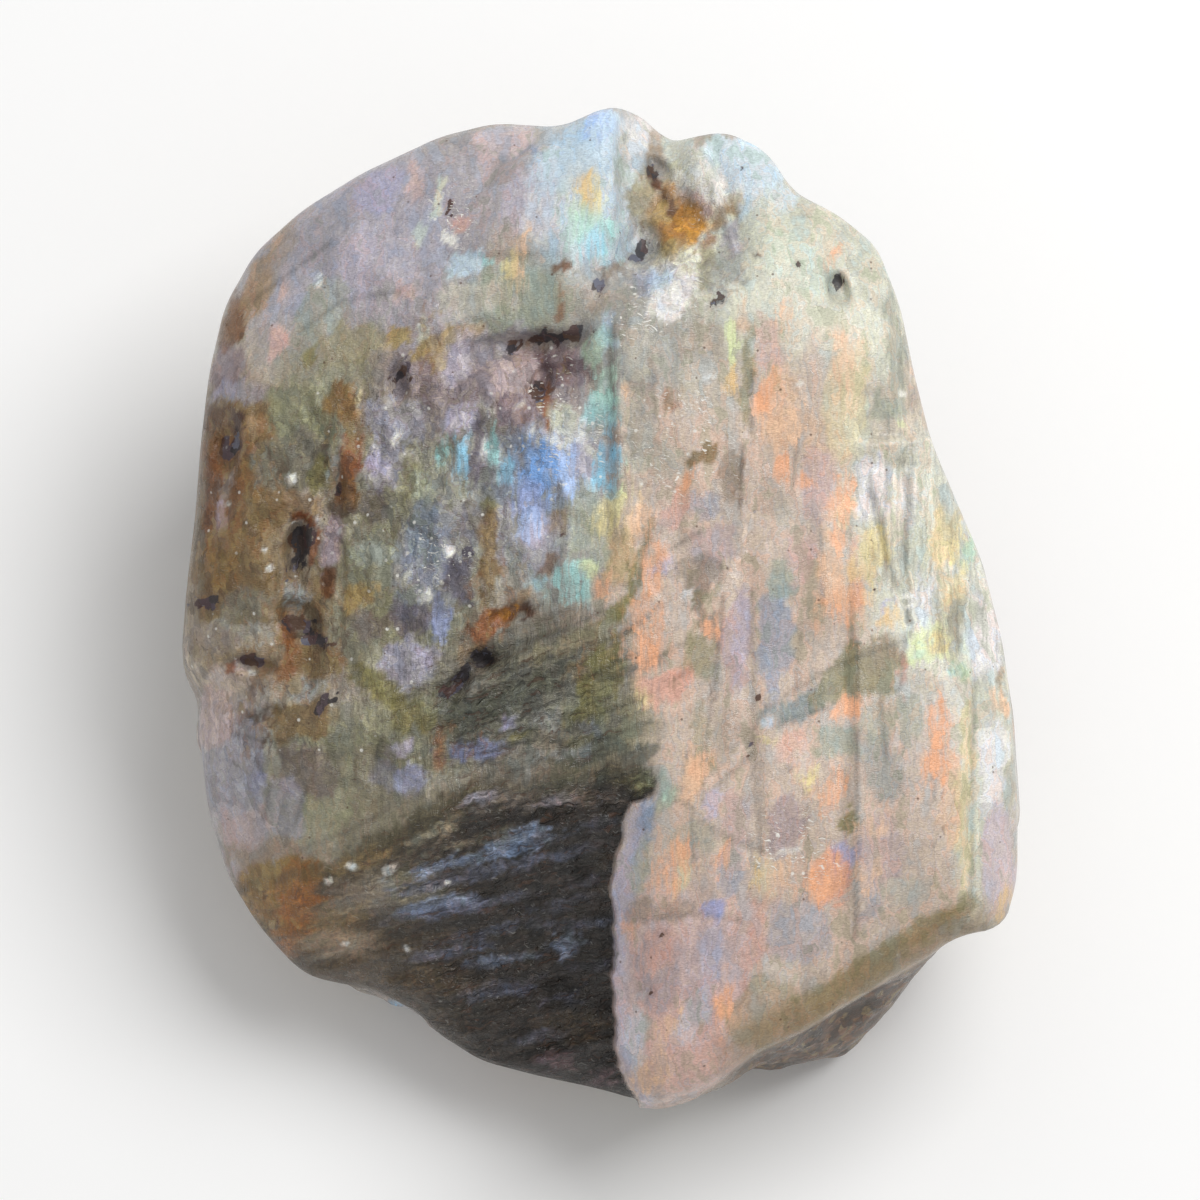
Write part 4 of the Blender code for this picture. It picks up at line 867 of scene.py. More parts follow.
chips = [
    (292, 479, 6, 5, 90, "white", .95), (451, 551, 5, 4, 0, "white", .9), (226, 504, 3, 3, 0, "white", .8),
    (264, 550, 3, 3, 0, "white", .8), (269, 568, 3, 3, 0, "white", .8), (317, 518, 3, 3, 0, "white", .8),
    (339, 532, 3, 3, 0, "white", .8), (251, 673, 4, 3, 0, "white", .8), (303, 639, 3, 3, 0, "white", .8),
    (318, 274, 3, 3, 0, "white", .8), (318, 282, 3, 3, 0, "white", .8), (350, 868, 6, 5, 0, "white", .8),
    (327, 882, 4, 3, 0, "white", .7), (389, 870, 7, 3, 20, "white", .7), (343, 946, 4, 3, 0, "white", .7),
    (406, 951, 4, 4, 0, "white", .7), (447, 884, 3, 3, 0, "white", .7), (800, 384, 5, 3, 0, "white", .7),
    (904, 394, 4, 3, 0, "white", .7), (906, 596, 4, 3, 0, "white", .7), (910, 607, 4, 3, 0, "white", .7),
    (908, 627, 4, 3, 0, "white", .7), (880, 930, 4, 3, 0, "white", .6), (520, 405, 8, 3, 30, "white", .6),
    (709, 377, 8, 3, 10, "white", .6), (790, 850, 12, 2, 10, "white", .5),
    (570, 440, 10, 2, 20, "white", .5), (585, 452, 8, 2, -30, "white", .5),
    (560, 460, 8, 2, 60, "white", .4), (670, 290, 8, 3, 40, "white", .5),
    (601, 393, 13, 4, 70, "white", .6), (590, 450, 16, 4, -40, "white", .6),
    (558, 446, 14, 3, -20, "white", .6), (500, 452, 8, 3, 88, "white", .5),
    (443, 440, 14, 3, -30, "white", .5), (405, 455, 10, 3, 20, "white", .5),
    (395, 440, 8, 4, 60, "white", .6), (486, 408, 10, 3, -40, "white", .4),
    (690, 300, 10, 4, 50, "white", .6), (655, 300, 12, 4, 70, "white", .6),
    (700, 186, 14, 3, -40, "white", .8), (425, 598, 8, 5, 40, "white", .6),
    (408, 575, 7, 4, 60, "white", .5), (880, 500, 20, 3, 84, "white", .5),
    (925, 500, 18, 3, 80, "white", .5),
]
# Fine dark cracks: how dark, and a string of points in sketch units
cracks = [
    (.40, (294, 827), (300, 805), (306, 789)), (.35, (255, 760), (268, 790), (262, 820)),
    (.35, (330, 745), (345, 790)), (.35, (380, 740), (372, 775)), (.30, (300, 850), (340, 835), (380, 815)),
    (.35, (235, 735), (270, 742), (300, 738)), (.35, (395, 700), (420, 690), (450, 700)),
    (.35, (350, 640), (365, 700)), (.40, (330, 420), (322, 480), (334, 520)),
    (.35, (380, 380), (384, 440), (378, 500)), (.35, (400, 520), (440, 540), (470, 530)),
    (.35, (500, 400), (506, 450)), (.35, (612, 330), (610, 400), (616, 470)),
    (.30, (560, 480), (565, 540), (555, 600)), (.30, (650, 350), (655, 420)),
    (.30, (250, 300), (290, 270), (330, 240)), (.30, (300, 330), (340, 300), (400, 290)),
    (.30, (690, 800), (694, 860)), (.25, (640, 920), (700, 912), (740, 920)), (.30, (880, 700), (886, 760)),
    (.30, (930, 700), (934, 800)), (.45, (753, 371), (751, 431)), (.35, (753, 752), (756, 800), (761, 850)),
    (.25, (754, 655), (753, 752)), (.40, (857, 640), (858, 700)), (.45, (857, 730), (855, 938)),
    (.30, (806, 789), (806, 900)), (.30, (974, 681), (971, 910)), (.40, (723, 596), (714, 690), (703, 760)),
    (.35, (686, 755), (684, 790)), (.30, (703, 765), (703, 800)), (.30, (797, 431), (793, 484)),
    (.50, (606, 679), (643, 669), (659, 662)), (.35, (633, 625), (663, 604)),
    (.35, (628, 667), (653, 660), (685, 642)), (.35, (650, 791), (686, 803)), (.35, (655, 558), (700, 532)),
    (.45, (742, 448), (741, 505)), (.25, (850, 500), (852, 640)), (.30, (870, 490), (873, 560)),
    (.30, (888, 470), (884, 520), (886, 560)), (.40, (908, 475), (906, 560), (909, 635)),
    (.35, (906, 638), (899, 690)), (.30, (700, 820), (730, 838), (762, 850)), (.30, (715, 786), (750, 756)),
    (.30, (766, 708), (830, 668), (904, 640)), (.30, (772, 727), (830, 706)), (.25, (936, 590), (942, 650)),
    (.25, (958, 600), (958, 655)), (.25, (648, 545), (634, 600), (622, 640)), (.25, (735, 330), (733, 400)),
    (.30, (752, 590), (752, 655)), (.25, (820, 520), (823, 600)), (.25, (800, 625), (796, 690)),
    (.35, (480, 652), (560, 632), (600, 612)), (.40, (500, 672), (560, 655), (606, 640)),
    (.45, (520, 700), (580, 680), (630, 655)), (.40, (530, 730), (590, 716), (640, 700)),
    (.35, (560, 748), (610, 736), (650, 722)), (.35, (610, 640), (650, 618)), (.35, (640, 700), (690, 670)),
]
# Where rust has soaked in along the fibres: middle, half length, half width, tilt and how much
rustZones = [
    (235, 500, 130, 60, 85, .8), (300, 640, 90, 60, 70, .75), (345, 440, 70, 26, 85, .9),
    (490, 600, 60, 34, 60, .8), (540, 380, 60, 40, 80, .55), (672, 232, 34, 22, 20, .5),
    (250, 730, 40, 40, 0, .6), (275, 905, 50, 50, -20, .45), (430, 340, 60, 22, 85, .4),
    (460, 740, 50, 26, 20, .5), (735, 470, 60, 22, 88, .3), (225, 320, 60, 30, 70, .4),
    (600, 650, 60, 24, 60, .35), (940, 850, 120, 22, 88, .25), (700, 720, 60, 20, 88, .3),
]
# Where small crystals sparkle, with painted glints and more pale flecks: middle and radius
sparkleSpots = [
    (545, 385, 44), (690, 440, 70), (640, 330, 40), (577, 447, 50), (670, 300, 50), (705, 190, 36),
    (790, 850, 60), (455, 215, 40), (440, 560, 40),
]
# Where the hollow's dark colour and its painted shade start, mm in the face frame
lipLine = {
    "u": [-24.0, -16.1, -11.9, -7.6, -2.4, 0.4, 2.4, 3.6],
    "v": [-17.6, -15.6, -13.3, -10.7, -10.1, -9.5, -9.5, -10.6],
}

# Tones of the broken side, and the play of colour on it
sidePaint = {
    "tones": ["beige", "mauve", "olive", "tan", "grey", "sand"],
    "flashes": ["sky", "orange", "lime", "blue"],
    "size": 5.5,             # mm
    "flashSize": 2.5,
    "stainShare": 0.6,
    "flashShare": 0.6,
}

# How the strokes are laid, and where one colour gives way to another
paint = {
    "ragged": [(0.26, 0.6, 0.9), (0.14, 0.24, 0.34)],    # of a stroke's edge: how much, and mm across and up
    "raggedMost": 2.0,
    "squareness": 3.0,       # power of the strokes' ovals
    "crackWidth": 3.0,       # in units of the sketch
    "wander": (0.16, 1.1, 1.6),    # mm that every colour's edge wanders, and its length across and up
    "blocks": [((0.75, 1.3), (0.14, 0.28), 54), ((0.42, 0.6), (0.07, 0.12), 55)],    # size, shift and noise
    "blockLean": 0.1,
    "patchSoft": 0.30,       # share of a stroke that its edge fades over
    "patchEdge": 0.22,       # mm
    # the span over which the hollow's painted shade deepens
    "hollowShadeDeepens": (-16.0, -4.0),    # from the left to the middle of the hollow, u in mm
    "lipShadeShare": 0.72,
    "tearAlong": (0.9, 2.0, 0.24),    # mm that the hollow's patches are torn along its streaks, long and wide
    "tearAcross": (0.22, 1.4, 0.4),
    "tearRise": 14.0,        # degrees
    "depth": (1.18, 0.15, 0.18),    # strength of the patches, more at the left and less in the hollow
    "ridgeStrip": (0.45, 0.4, 0.75),    # mm past the ridge, half width in mm, and share
    # The lower right corner: its side and a band of its rim are painted dark as the shade of a face turned
    # down and away
    "corner": (280, 290, 316, 325),    # degrees round the stone where its dark side starts and ends
    "cornerShadeBand": 0.7,
    "cornerShadowShare": 0.95,
    "flashHaloes": [(1.8, 0.30, 0.9), (1.05, 0.72, 0.35)],    # how much wider, how full and how soft
    "grainHalo": (1.5, 0.35, 0.6),
    "slant": ((-5.0, -6.5), (9.0, 5.0)),    # middle and spread of the slanting fibres on the slope
    "brokenSlope": ((-3.5, -5.0), (5.0, 3.6), 0.65),
    "slopeEnds": (1.0, 3.5),    # u, mm
    "sideFrom": (0.30, 0.22),    # share of the side's height with the face's colours, less at the corner
    "sideBroken": (0.6, 0.7),    # how broken up the side is, less at the corner
    "sideRusty": (0.35, 0.5),    # how rusty it is, more at the corner
}


# An sRGB colour from the palette as linear light: ((c + 0.055) / 1.055)^2.4 of each part
def lightOf(name):
    return ((np.array(palette[name]) / 255.0 + 0.055) / 1.055) ** 2.4


# Lays soft-edged boxes of colour over what is there. within is how much of them each point takes, soft is
# the width of the edge as a share of the box, and edge is the most it may be in millimetres.
def layOn(colour, u, v, strokes, within, soft, cover=None, edge=99.0):
    scale, middle = stone["sketchScale"], stone["sketchMiddle"]
    ragged = sum(waves(u, v, entry, seed) for seed, entry in enumerate(paint["ragged"], 46))
    for x, y, halfLength, halfWidth, tilt, name, fullness in strokes:
        middleU, middleV, power = (x - middle) / scale, (middle - y) / scale, paint["squareness"]
        reach = ovalReach(u, v, middleU, middleV, halfLength / scale, halfWidth / scale, tilt, power)
        reach += ragged * min(scale / halfWidth, paint["raggedMost"])
        fade = min(soft, edge * scale / halfWidth)
        held = fullness * within * (1.0 - smoothStep(reach, 1.0 - fade, 1.0 + 0.6 * fade))
        if cover is None:
            colour += (lightOf(name) - colour) * held[:, None]
        else:
            share = held / np.maximum(held + cover * (1.0 - held), 1e-6)
            colour += (lightOf(name) - colour) * share[:, None]
            cover += (1.0 - cover) * held


# How near each point is to a string of points, as a bell of the given half width in units of the sketch
def nearLine(u, v, line, halfWidth):
    scale, middle = stone["sketchScale"], stone["sketchMiddle"]
    corners = [((x - middle) / scale, (middle - y) / scale) for x, y in line]
    near = np.zeros(len(u))
    for start, end in zip(corners[:-1], corners[1:]):
        share, left = along(u, v, start, end)
        past = np.maximum(np.maximum(-share, share - 1.0), 0.0) * math.dist(start, end)
        near = np.maximum(near, np.exp(-(left**2 + past**2) * (scale / halfWidth) ** 2))
    return near


# Colour of the broken side by place in space: smooth noise picks among the side's tones, and where a
# second noise is high there is play of colour
def sideColours(points):
    x, y, z = points.T / sidePaint["size"]
    weights = [np.exp(4.0 * lumpy(x, y, z * 1.6, 60 + i)) for i in range(len(sidePaint["tones"]))]
    total = sum(weights)
    tone = sum((w / total)[:, None] * lightOf(name) for w, name in zip(weights, sidePaint["tones"]))
    stain = smoothStep(lumpy(x * 1.4, y * 1.4, z, 70), 0.25, 0.7)[:, None]
    tone = tone + (lightOf("brown") - tone) * sidePaint["stainShare"] * stain
    glow = np.zeros((len(points), 3))
    cover = np.zeros(len(points))
    x, y, z = points.T / sidePaint["flashSize"]
    for i, name in enumerate(sidePaint["flashes"]):
        held = sidePaint["flashShare"] * smoothStep(lumpy(x, y, z * 0.5, 80 + i), 0.36, 0.75)
        glow += (lightOf(name) - glow) * held[:, None]
        cover = np.maximum(cover, held)
    return tone, glow, cover


# The same strokes grown and thinned out, for the soft light round each flash and the stain round each grain
def haloesOf(strokes, grown, thinned):
    return [(x, y, long * grown, wide * grown, tilt, name, full * thinned)
            for x, y, long, wide, tilt, name, full in strokes]


# The most of several soft ovals at each point
def ovalsReach(u, v, zones):
    scale, middle = stone["sketchScale"], stone["sketchMiddle"]
    most = np.zeros(len(u))
    for x, y, halfLength, halfWidth, tilt, strength in zones:
        middleU, middleV = (x - middle) / scale, (middle - y) / scale
        reach = ovalReach(u, v, middleU, middleV, halfLength / scale, halfWidth / scale, tilt)
        most = np.maximum(most, strength * (1.0 - smoothStep(reach, 0.3, 1.3)))
    return most


# Places moved so that a colour's edge wanders and follows cleavage blocks, each block shifted its own way
def bentPlaces(u, v):
    softU, softV = u + waves(u, v, paint["wander"], 50), v + waves(u, v, paint["wander"], 52)
    bentU, bentV = softU, softV
    for (across, up), (moveU, moveV), seed in paint["blocks"]:
        shiftU, shiftV = cleaved((softU - paint["blockLean"] * softV) / across, softV / up, seed)
        bentU, bentV = bentU + moveU * shiftU, bentV + moveV * shiftV
    return bentU, bentV


# Places moved so that a colour is torn into streaks along the hollow's rise
def tornPlaces(u, v):
    rise = math.radians(paint["tearRise"])
    lengthwise, crosswise = u * math.cos(rise) + v * math.sin(rise), v * math.cos(rise) - u * math.sin(rise)
    tear = waves(lengthwise, crosswise, paint["tearAlong"], 57)
    cross = waves(lengthwise, crosswise, paint["tearAcross"], 58)
    tornU = u + tear * math.cos(rise) - cross * math.sin(rise)
    tornV = v + tear * math.sin(rise) + cross * math.cos(rise)
    return tornU, tornV


# Every colour and mask of the stone's points: tones from the broad to the small, each laid over the last,
# with painted shade in the hollow and along its lip, then the play of colour, and the side's own colours
# where the face gives way to it, with painted shade on the side and rim of the lower right corner
def paintStone(points, u, v, shares, downs):
    bentU, bentV = bentPlaces(u, v)
    pastRidge = hollowPlace(bentU, bentV)[0]
    below = np.interp(bentU, lipLine["u"], lipLine["v"]) - bentV
    inHollow = smoothStep(-hollowPlace(u, v)[0], -0.05, 0.15) * smoothStep(below, -0.2, 1.2)
    onFace = 1.0 - inHollow
    tone = np.tile(lightOf("beige"), (len(u), 1))
    layOn(tone, bentU, bentV, broadTones, 1.0, 0.5)
    # Painted shade: the hollow takes its dark stone colour darkened further as shade, deepening from its left
    # towards the ridge
    shadeDeepens = smoothStep(u, *paint["hollowShadeDeepens"])[:, None]
    hollowShadeTone = lightOf("hollowLeft") + (lightOf("hollow") - lightOf("hollowLeft")) * shadeDeepens
    tone += (hollowShadeTone - tone) * inHollow[:, None]
    plain = tone.copy()
    for strokes in (upperPatches, middlePatches, leftPatches, rightPatches):
        layOn(tone, bentU, bentV, strokes, onFace, paint["patchSoft"], edge=paint["patchEdge"])
    # Painted shade: a dark olive band just below where the hollow's dark starts, carrying the hollow's shade
    # up above its edge
    lipEdge = 0.25 + 0.7 * smoothStep(u, -12.0, -2.0)
    lip = smoothStep(below / lipEdge, -1.0, 1.0) * (1.0 - smoothStep(below, 0.8, 2.4))
    lip *= smoothStep(-pastRidge, -0.3, 0.4) * (0.55 + 0.45 * smoothStep(u, -20.0, -12.0))
    tone += (lightOf("lip") - tone) * paint["lipShadeShare"] * lip[:, None]
    layOn(tone, *tornPlaces(u, v), hollowPatches, inHollow, 0.5)
    depth, leftDepth, hollowDepth = paint["depth"]
    depth = depth + leftDepth * smoothStep(-u, 4.0, 14.0) - hollowDepth * inHollow
    tone[:] = plain * (tone / plain) ** depth[:, None]
    pastStrip, stripWidth, stripShare = paint["ridgeStrip"]
    strip = np.exp(-((pastRidge - pastStrip) / stripWidth) ** 2) * smoothStep(-v, 11.0, 13.0) * onFace
    tone += (lightOf("lilacGrey") - tone) * stripShare * strip[:, None]
    # Painted shade: an olive-brown band along the rim of the lower right corner, where the face turns down
    # and away
    degrees = np.degrees(np.arctan2(v, u)) % 360.0
    corner = smoothStep(degrees, *paint["corner"][:2]) * (1.0 - smoothStep(degrees, *paint["corner"][2:]))
    shadeBand = corner * smoothStep(shares, 0.90, 0.96)
    tone += (lightOf("oliveBrown") - tone) * paint["cornerShadeBand"] * shadeBand[:, None]
    glow, cover = np.tile(lightOf("sand"), (len(u), 1)), np.zeros(len(u))
    for grown, thinned, soft in paint["flashHaloes"]:
        layOn(glow, bentU, bentV, haloesOf(flashes, grown, thinned), onFace, soft, cover)
    layOn(tone, bentU, bentV, stains, onFace, 0.5)
    for strength, *line in cracks:
        tone *= 1.0 - strength * nearLine(u, v, line, paint["crackWidth"])[:, None]
    grown, thinned, soft = paint["grainHalo"]
    layOn(tone, bentU, bentV, haloesOf(grains, grown, thinned), 1.0, soft)
    dark = np.zeros(len(u))
    layOn(np.zeros((len(u), 3)), bentU, bentV, grains, 1.0, soft, dark)
    layOn(tone, u, v, chips, 1.0, 0.4)

    # Painted shadow: the side under the lower right corner is laid nearly black-brown
    sideTone, sideGlow, sideCover = sideColours(points)
    sideTone += (lightOf("cornerShadow") - sideTone) * paint["cornerShadowShare"] * corner[:, None]
    sideFrom, sideSooner = paint["sideFrom"]
    away = smoothStep(downs, 0.0, sideFrom - sideSooner * corner)
    face = 1.0 - away
    tone += (sideTone - tone) * away[:, None]
    glow += (sideGlow - glow) * away[:, None]
    cover += (sideCover * (1.0 - corner) - cover) * away

    slopeEnds = 1.0 - smoothStep(u, *paint["slopeEnds"])
    calm = 0.4 + 0.6 * smoothStep(u, -17.0, -8.0)
    slanted = np.maximum(inHollow, bell(u, v, *paint["slant"]) * slopeEnds)
    sparkle = ovalsReach(u, v, [(x, y, radius, radius, 0, 1.0) for x, y, radius in sparkleSpots])
    masks = np.stack([sparkle * face, slanted * calm * face, inHollow * calm * face, dark * face], axis=-1)
    slopeMiddle, slopeSpread, slopeShare = paint["brokenSlope"]
    onSlope = slopeShare * bell(u, v, slopeMiddle, slopeSpread) * slopeEnds
    sideBroken, cornerSound = paint["sideBroken"]
    broken = np.maximum(brokenShare(u, v), onSlope) * onFace * face
    broken = broken + sideBroken * away * (1.0 - cornerSound * corner)
    sideRusty, cornerRusty = paint["sideRusty"]
    rusty = ovalsReach(bentU, bentV, rustZones) * face + (sideRusty + cornerRusty * corner) * away
    slab = smoothStep(u - np.interp(v, flank["v"], flank["u"]), -1.0, 0.5) * smoothStep(v, -8.0, -3.0)
    zones = np.stack([broken, rusty, slab * face], axis=-1)
    return tone, glow, cover, masks, zones


tone, glow, cover, masks, zones = paintStone(points, placeU, placeV, shares, downs)
print("stone painted")


# A mesh from points in millimetres, quads and triangles, with smooth faces
def makeMesh(name, points, quads, fan):
    mesh = bpy.data.meshes.new(name)
    mesh.vertices.add(len(points))
    mesh.vertices.foreach_set("co", (points * 0.001).astype(np.float32).ravel())
    corners = np.concatenate([quads.ravel(), fan.ravel()]).astype(np.int32)
    mesh.loops.add(len(corners))
    mesh.loops.foreach_set("vertex_index", corners)
    starts = np.concatenate([np.arange(len(quads)) * 4, len(quads) * 4 + np.arange(len(fan)) * 3])
    mesh.polygons.add(len(starts))
    mesh.polygons.foreach_set("loop_start", starts.astype(np.int32))
    mesh.update(calc_edges=True)
    mesh.validate()
    mesh.polygons.foreach_set("use_smooth", np.ones(len(mesh.polygons), bool))
    return mesh


# A colour for each point, with its strength as alpha
def addColours(mesh, name, colours, alpha):
    layer = mesh.attributes.new(name, "FLOAT_COLOR", "POINT")
    full = np.concatenate([colours, np.reshape(alpha, (-1, 1))], axis=1)
    layer.data.foreach_set("color", full.astype(np.float32).ravel())


# Sizes are mm across, up the face and into it. A pair of shades, tints or reliefs is for the sound face and
# for where it is broken up.
look = {
    "warp": 0.34,            # mm that the crystals' edges wander
    "warpSize": 0.7,
    "plateWarp": 0.16,       # the same for the cleavage blocks
    "blockSize": (1.5, 4.6, 2.0),
    "crystalSize": (0.62, 1.15, 0.7),
    "chipSize": (0.24, 0.34, 0.26),
    "fibreAcross": 0.22,
    "fibreAlong": 3.0,
    "fineSize": (0.20, 0.075, 0.1),
    "longSize": (0.8, 2.0, 1.4),     # of the tints
    "shortSize": (0.9, 1.7, 1.0),
    "slantRise": 18.0,       # degrees that the slanting fibres rise to the right
    "hollowRise": 14.0,
    "soundTints": ("blueGrey", "mauve", "mauvePink", "sand", "lilacGrey", "pink", "sandPink", "khaki"),
    "brokenTints": ("steel", "slate", "mauve", "grey", "cream", "blueGrey", "plum", "olive"),
    "earthTints": ("oliveDark", "earth", "olive", "ochre", "oliveBrown", "tan", "brown"),
    "rustTints": ("umber", "umber", "brown", "rust", "ochre"),
    "grainTints": ("char", "char", "umber", "wine", "slate"),
    "tintShare": (0.36, 0.38),
    "blockShade": (0.11, 0.20),
    "crystalShade": (0.08, 0.24),
    "chipShade": (0.03, 0.13),
    "fineShade": (0.48, 0.36),
    "hollowFine": 0.25,      # added in the hollow
    "fibreShade": (0.06, 0.95),      # upright and slanting fibres
    "threadShade": 0.5,      # added on the slab of the right flank
    "paleStreak": 0.80,
    "paleStreakSize": (1.3, 0.26, 0.6),
    "darkStreak": 0.50,
    "darkStreakSize": (1.6, 0.4, 0.8),
    "rustShare": 0.5,
    "rustSize": (0.55, 1.7, 0.8),
    "grainShare": 0.9,
    "threadShare": 0.55,
    "specks": 2.2,           # for each mm
    "speckShare": (0.7, 0.75),       # dark and pale
    "glintSize": (0.5, 0.09, 0.3),
    "roughness": (0.18, 0.52),
    "grainRoughness": 0.4,   # added on dark grains
    "coat": 0.15,
    "coatRoughness": 0.2,
    "fibreRelief": (0.12, 2.0),      # upright and slanting fibres
    "fineRelief": (0.14, 0.40),
    "crystalRelief": (0.35, 1.9),
    "blockRelief": (0.9, 1.6),
    "bumpDepth": 0.00026,    # m
}


# A node with its settings and inputs filled in; an input that is another node's output is linked
def addNode(tree, kind, inputs=(), **settings):
    node = tree.nodes.new("ShaderNode" + kind)
    for name, value in settings.items():
        setattr(node, name, value)
    for key, value in dict(inputs).items():
        if isinstance(value, bpy.types.NodeSocket):
            tree.links.new(value, node.inputs[key])
        else:
            node.inputs[key].default_value = value
    return node


def addMath(tree, operation, a, b=0.0, c=0.0):
    return addNode(tree, "Math", {0: a, 1: b, 2: c}, operation=operation).outputs[0]


def addVector(tree, operation, a, b):
    second = "Scale" if operation == "SCALE" else 1
    return addNode(tree, "VectorMath", {0: a, second: b}, operation=operation).outputs[0]


# A number moved up or down by another: number + amount (other - 0.5)
def addSway(tree, number, other, amount):
    return addMath(tree, "MULTIPLY_ADD", addMath(tree, "SUBTRACT", other, 0.5), amount, number)


# Stretches a number from low..high to outLow..outHigh and holds it there
def addRange(tree, value, low, high, outLow=0.0, outHigh=1.0):
    return addNode(tree, "MapRange", {0: value, 1: low, 2: high, 3: outLow, 4: outHigh}).outputs[0]


# From the first number to the second by a share
def addBlend(tree, share, first, second):
    return addNode(tree, "Mix", {0: share, 2: first, 3: second}).outputs[0]


def addMix(tree, share, first, second):
    return addNode(tree, "Mix", {0: share, 6: first, 7: second}, data_type="RGBA").outputs[2]


# A colour times 1 + amount (2 value - 1): value 0.5 leaves it as it is
def addShade(tree, colour, value, amount):
    swing = addMath(tree, "MULTIPLY", addMath(tree, "MULTIPLY_ADD", value, 2.0, -1.0), amount)
    return addVector(tree, "SCALE", colour, addMath(tree, "ADD", swing, 1.0))


# Colours given as linear light, one running into the next as the value goes from 0 to 1
def addRamp(tree, value, colours):
    node = addNode(tree, "ValToRGB", {0: value})
    ramp = node.color_ramp
    for i in range(1, len(colours) - 1):
        ramp.elements.new(i / (len(colours) - 1))
    for spot, colour in zip(ramp.elements, colours):
        spot.color = (*colour, 1.0)
    return node.outputs[0]


# A colour times a tint from palette colours running into each other, as each differs from their mean
def addTint(tree, colour, value, names):
    lights = np.array([lightOf(name) for name in names])
    tint = addRamp(tree, value, 0.5 * lights / lights.mean(axis=0))
    return addVector(tree, "SCALE", addVector(tree, "MULTIPLY", colour, tint), 2.0)


# The place in a pattern whose features have the given size in millimetres, turned by some degrees
def addPlace(tree, place, sizes, turn=0.0):
    turned = addNode(tree, "Mapping", {"Vector": place, "Rotation": (0.0, 0.0, -math.radians(turn))})
    return addNode(tree, "Mapping", {
        "Vector": turned.outputs[0], "Scale": tuple(1.0 / size for size in sizes)}).outputs[0]


def addNoise(tree, place, sizes, turn=0.0, detail=3.0, output="Fac"):
    noise = addNode(tree, "TexNoise", {
        "Vector": addPlace(tree, place, sizes, turn), "Scale": 1.0, "Detail": detail, "Roughness": 0.6})
    return noise.outputs[output]


# Cleavage cells of the given size: three numbers of each cell's own, and the height of a flat facet across
# it, tilted its own way: the dot product of the place in the cell and those numbers less a half
def addCells(tree, place, sizes, turn=0.0):
    within = addPlace(tree, place, sizes, turn)
    cells = addNode(tree, "TexVoronoi", {"Vector": within, "Scale": 1.0}, distance="CHEBYCHEV")
    own = addNode(tree, "SeparateColor", {0: cells.outputs["Color"]}).outputs
    offset = addVector(tree, "SUBTRACT", within, cells.outputs["Position"])
    tilt = addVector(tree, "SUBTRACT", cells.outputs["Color"], (0.5, 0.5, 0.5))
    facet = addNode(tree, "VectorMath", {0: offset, 1: tilt}, operation="DOT_PRODUCT").outputs["Value"]
    return own, facet


# The point attributes and the patterns that the material is made of, by name
def addPatterns(tree):
    found = {}
    for name in ("tone", "glow", "masks", "zones"):
        painted = addNode(tree, "Attribute", attribute_name=name).outputs
        found[name], found[name + "Share"] = painted["Color"], painted["Alpha"]
    parted = [addNode(tree, "SeparateColor", {0: found[name]}).outputs for name in ("masks", "zones")]
    found["sparkle"], found["slanted"], found["hollowed"] = parted[0]
    found["broken"], found["rusty"], found["slab"] = parted[1]

    where = addNode(tree, "TexCoord").outputs["Object"]
    place = addNode(tree, "Mapping", {
        "Vector": where, "Scale": (1000.0, 1000.0, 1000.0),
        "Rotation": (-math.radians(stone["lean"]), 0.0, 0.0)}).outputs[0]
    wander = addNoise(tree, place, (look["warpSize"],) * 3, detail=1.0, output="Color")
    wander = addVector(tree, "SUBTRACT", wander, (0.5, 0.5, 0.5))
    bent = addVector(tree, "ADD", place, addVector(tree, "SCALE", wander, 2.0 * look["warp"]))
    straight = addVector(tree, "ADD", place, addVector(tree, "SCALE", wander, 2.0 * look["plateWarp"]))
    found["place"], found["bent"] = place, bent

    found["blocks"], found["blockFacet"] = addCells(tree, straight, look["blockSize"], 3.0)
    found["crystals"], found["crystalFacet"] = addCells(tree, bent, look["crystalSize"], 8.0)
    found["chips"] = addCells(tree, place, look["chipSize"], -12.0)[0]
    across, lengthwise = look["fibreAcross"], look["fibreAlong"]
    upright = addNoise(tree, straight, (across, lengthwise, across * 4), detail=2.0)
    found["slant"] = addNoise(tree, bent, (lengthwise * 0.5, across * 1.4, across * 4), look["slantRise"])
    found["fibres"] = addBlend(tree, found["slanted"], upright, found["slant"])
    found["fine"] = addNoise(tree, place, look["fineSize"], 8.0, 2.0)
    long = addSway(tree, addNoise(tree, bent, look["longSize"], 3.0, 2.0), found["blocks"][1], 0.32)
    found["short"] = addSway(tree, addNoise(tree, bent, look["shortSize"], 5.0), found["crystals"][1], 0.42)
    found["long"] = addRange(tree, long, 0.30, 0.70)
    found["lumps"] = addRange(tree, found["short"], 0.30, 0.70)
    return found


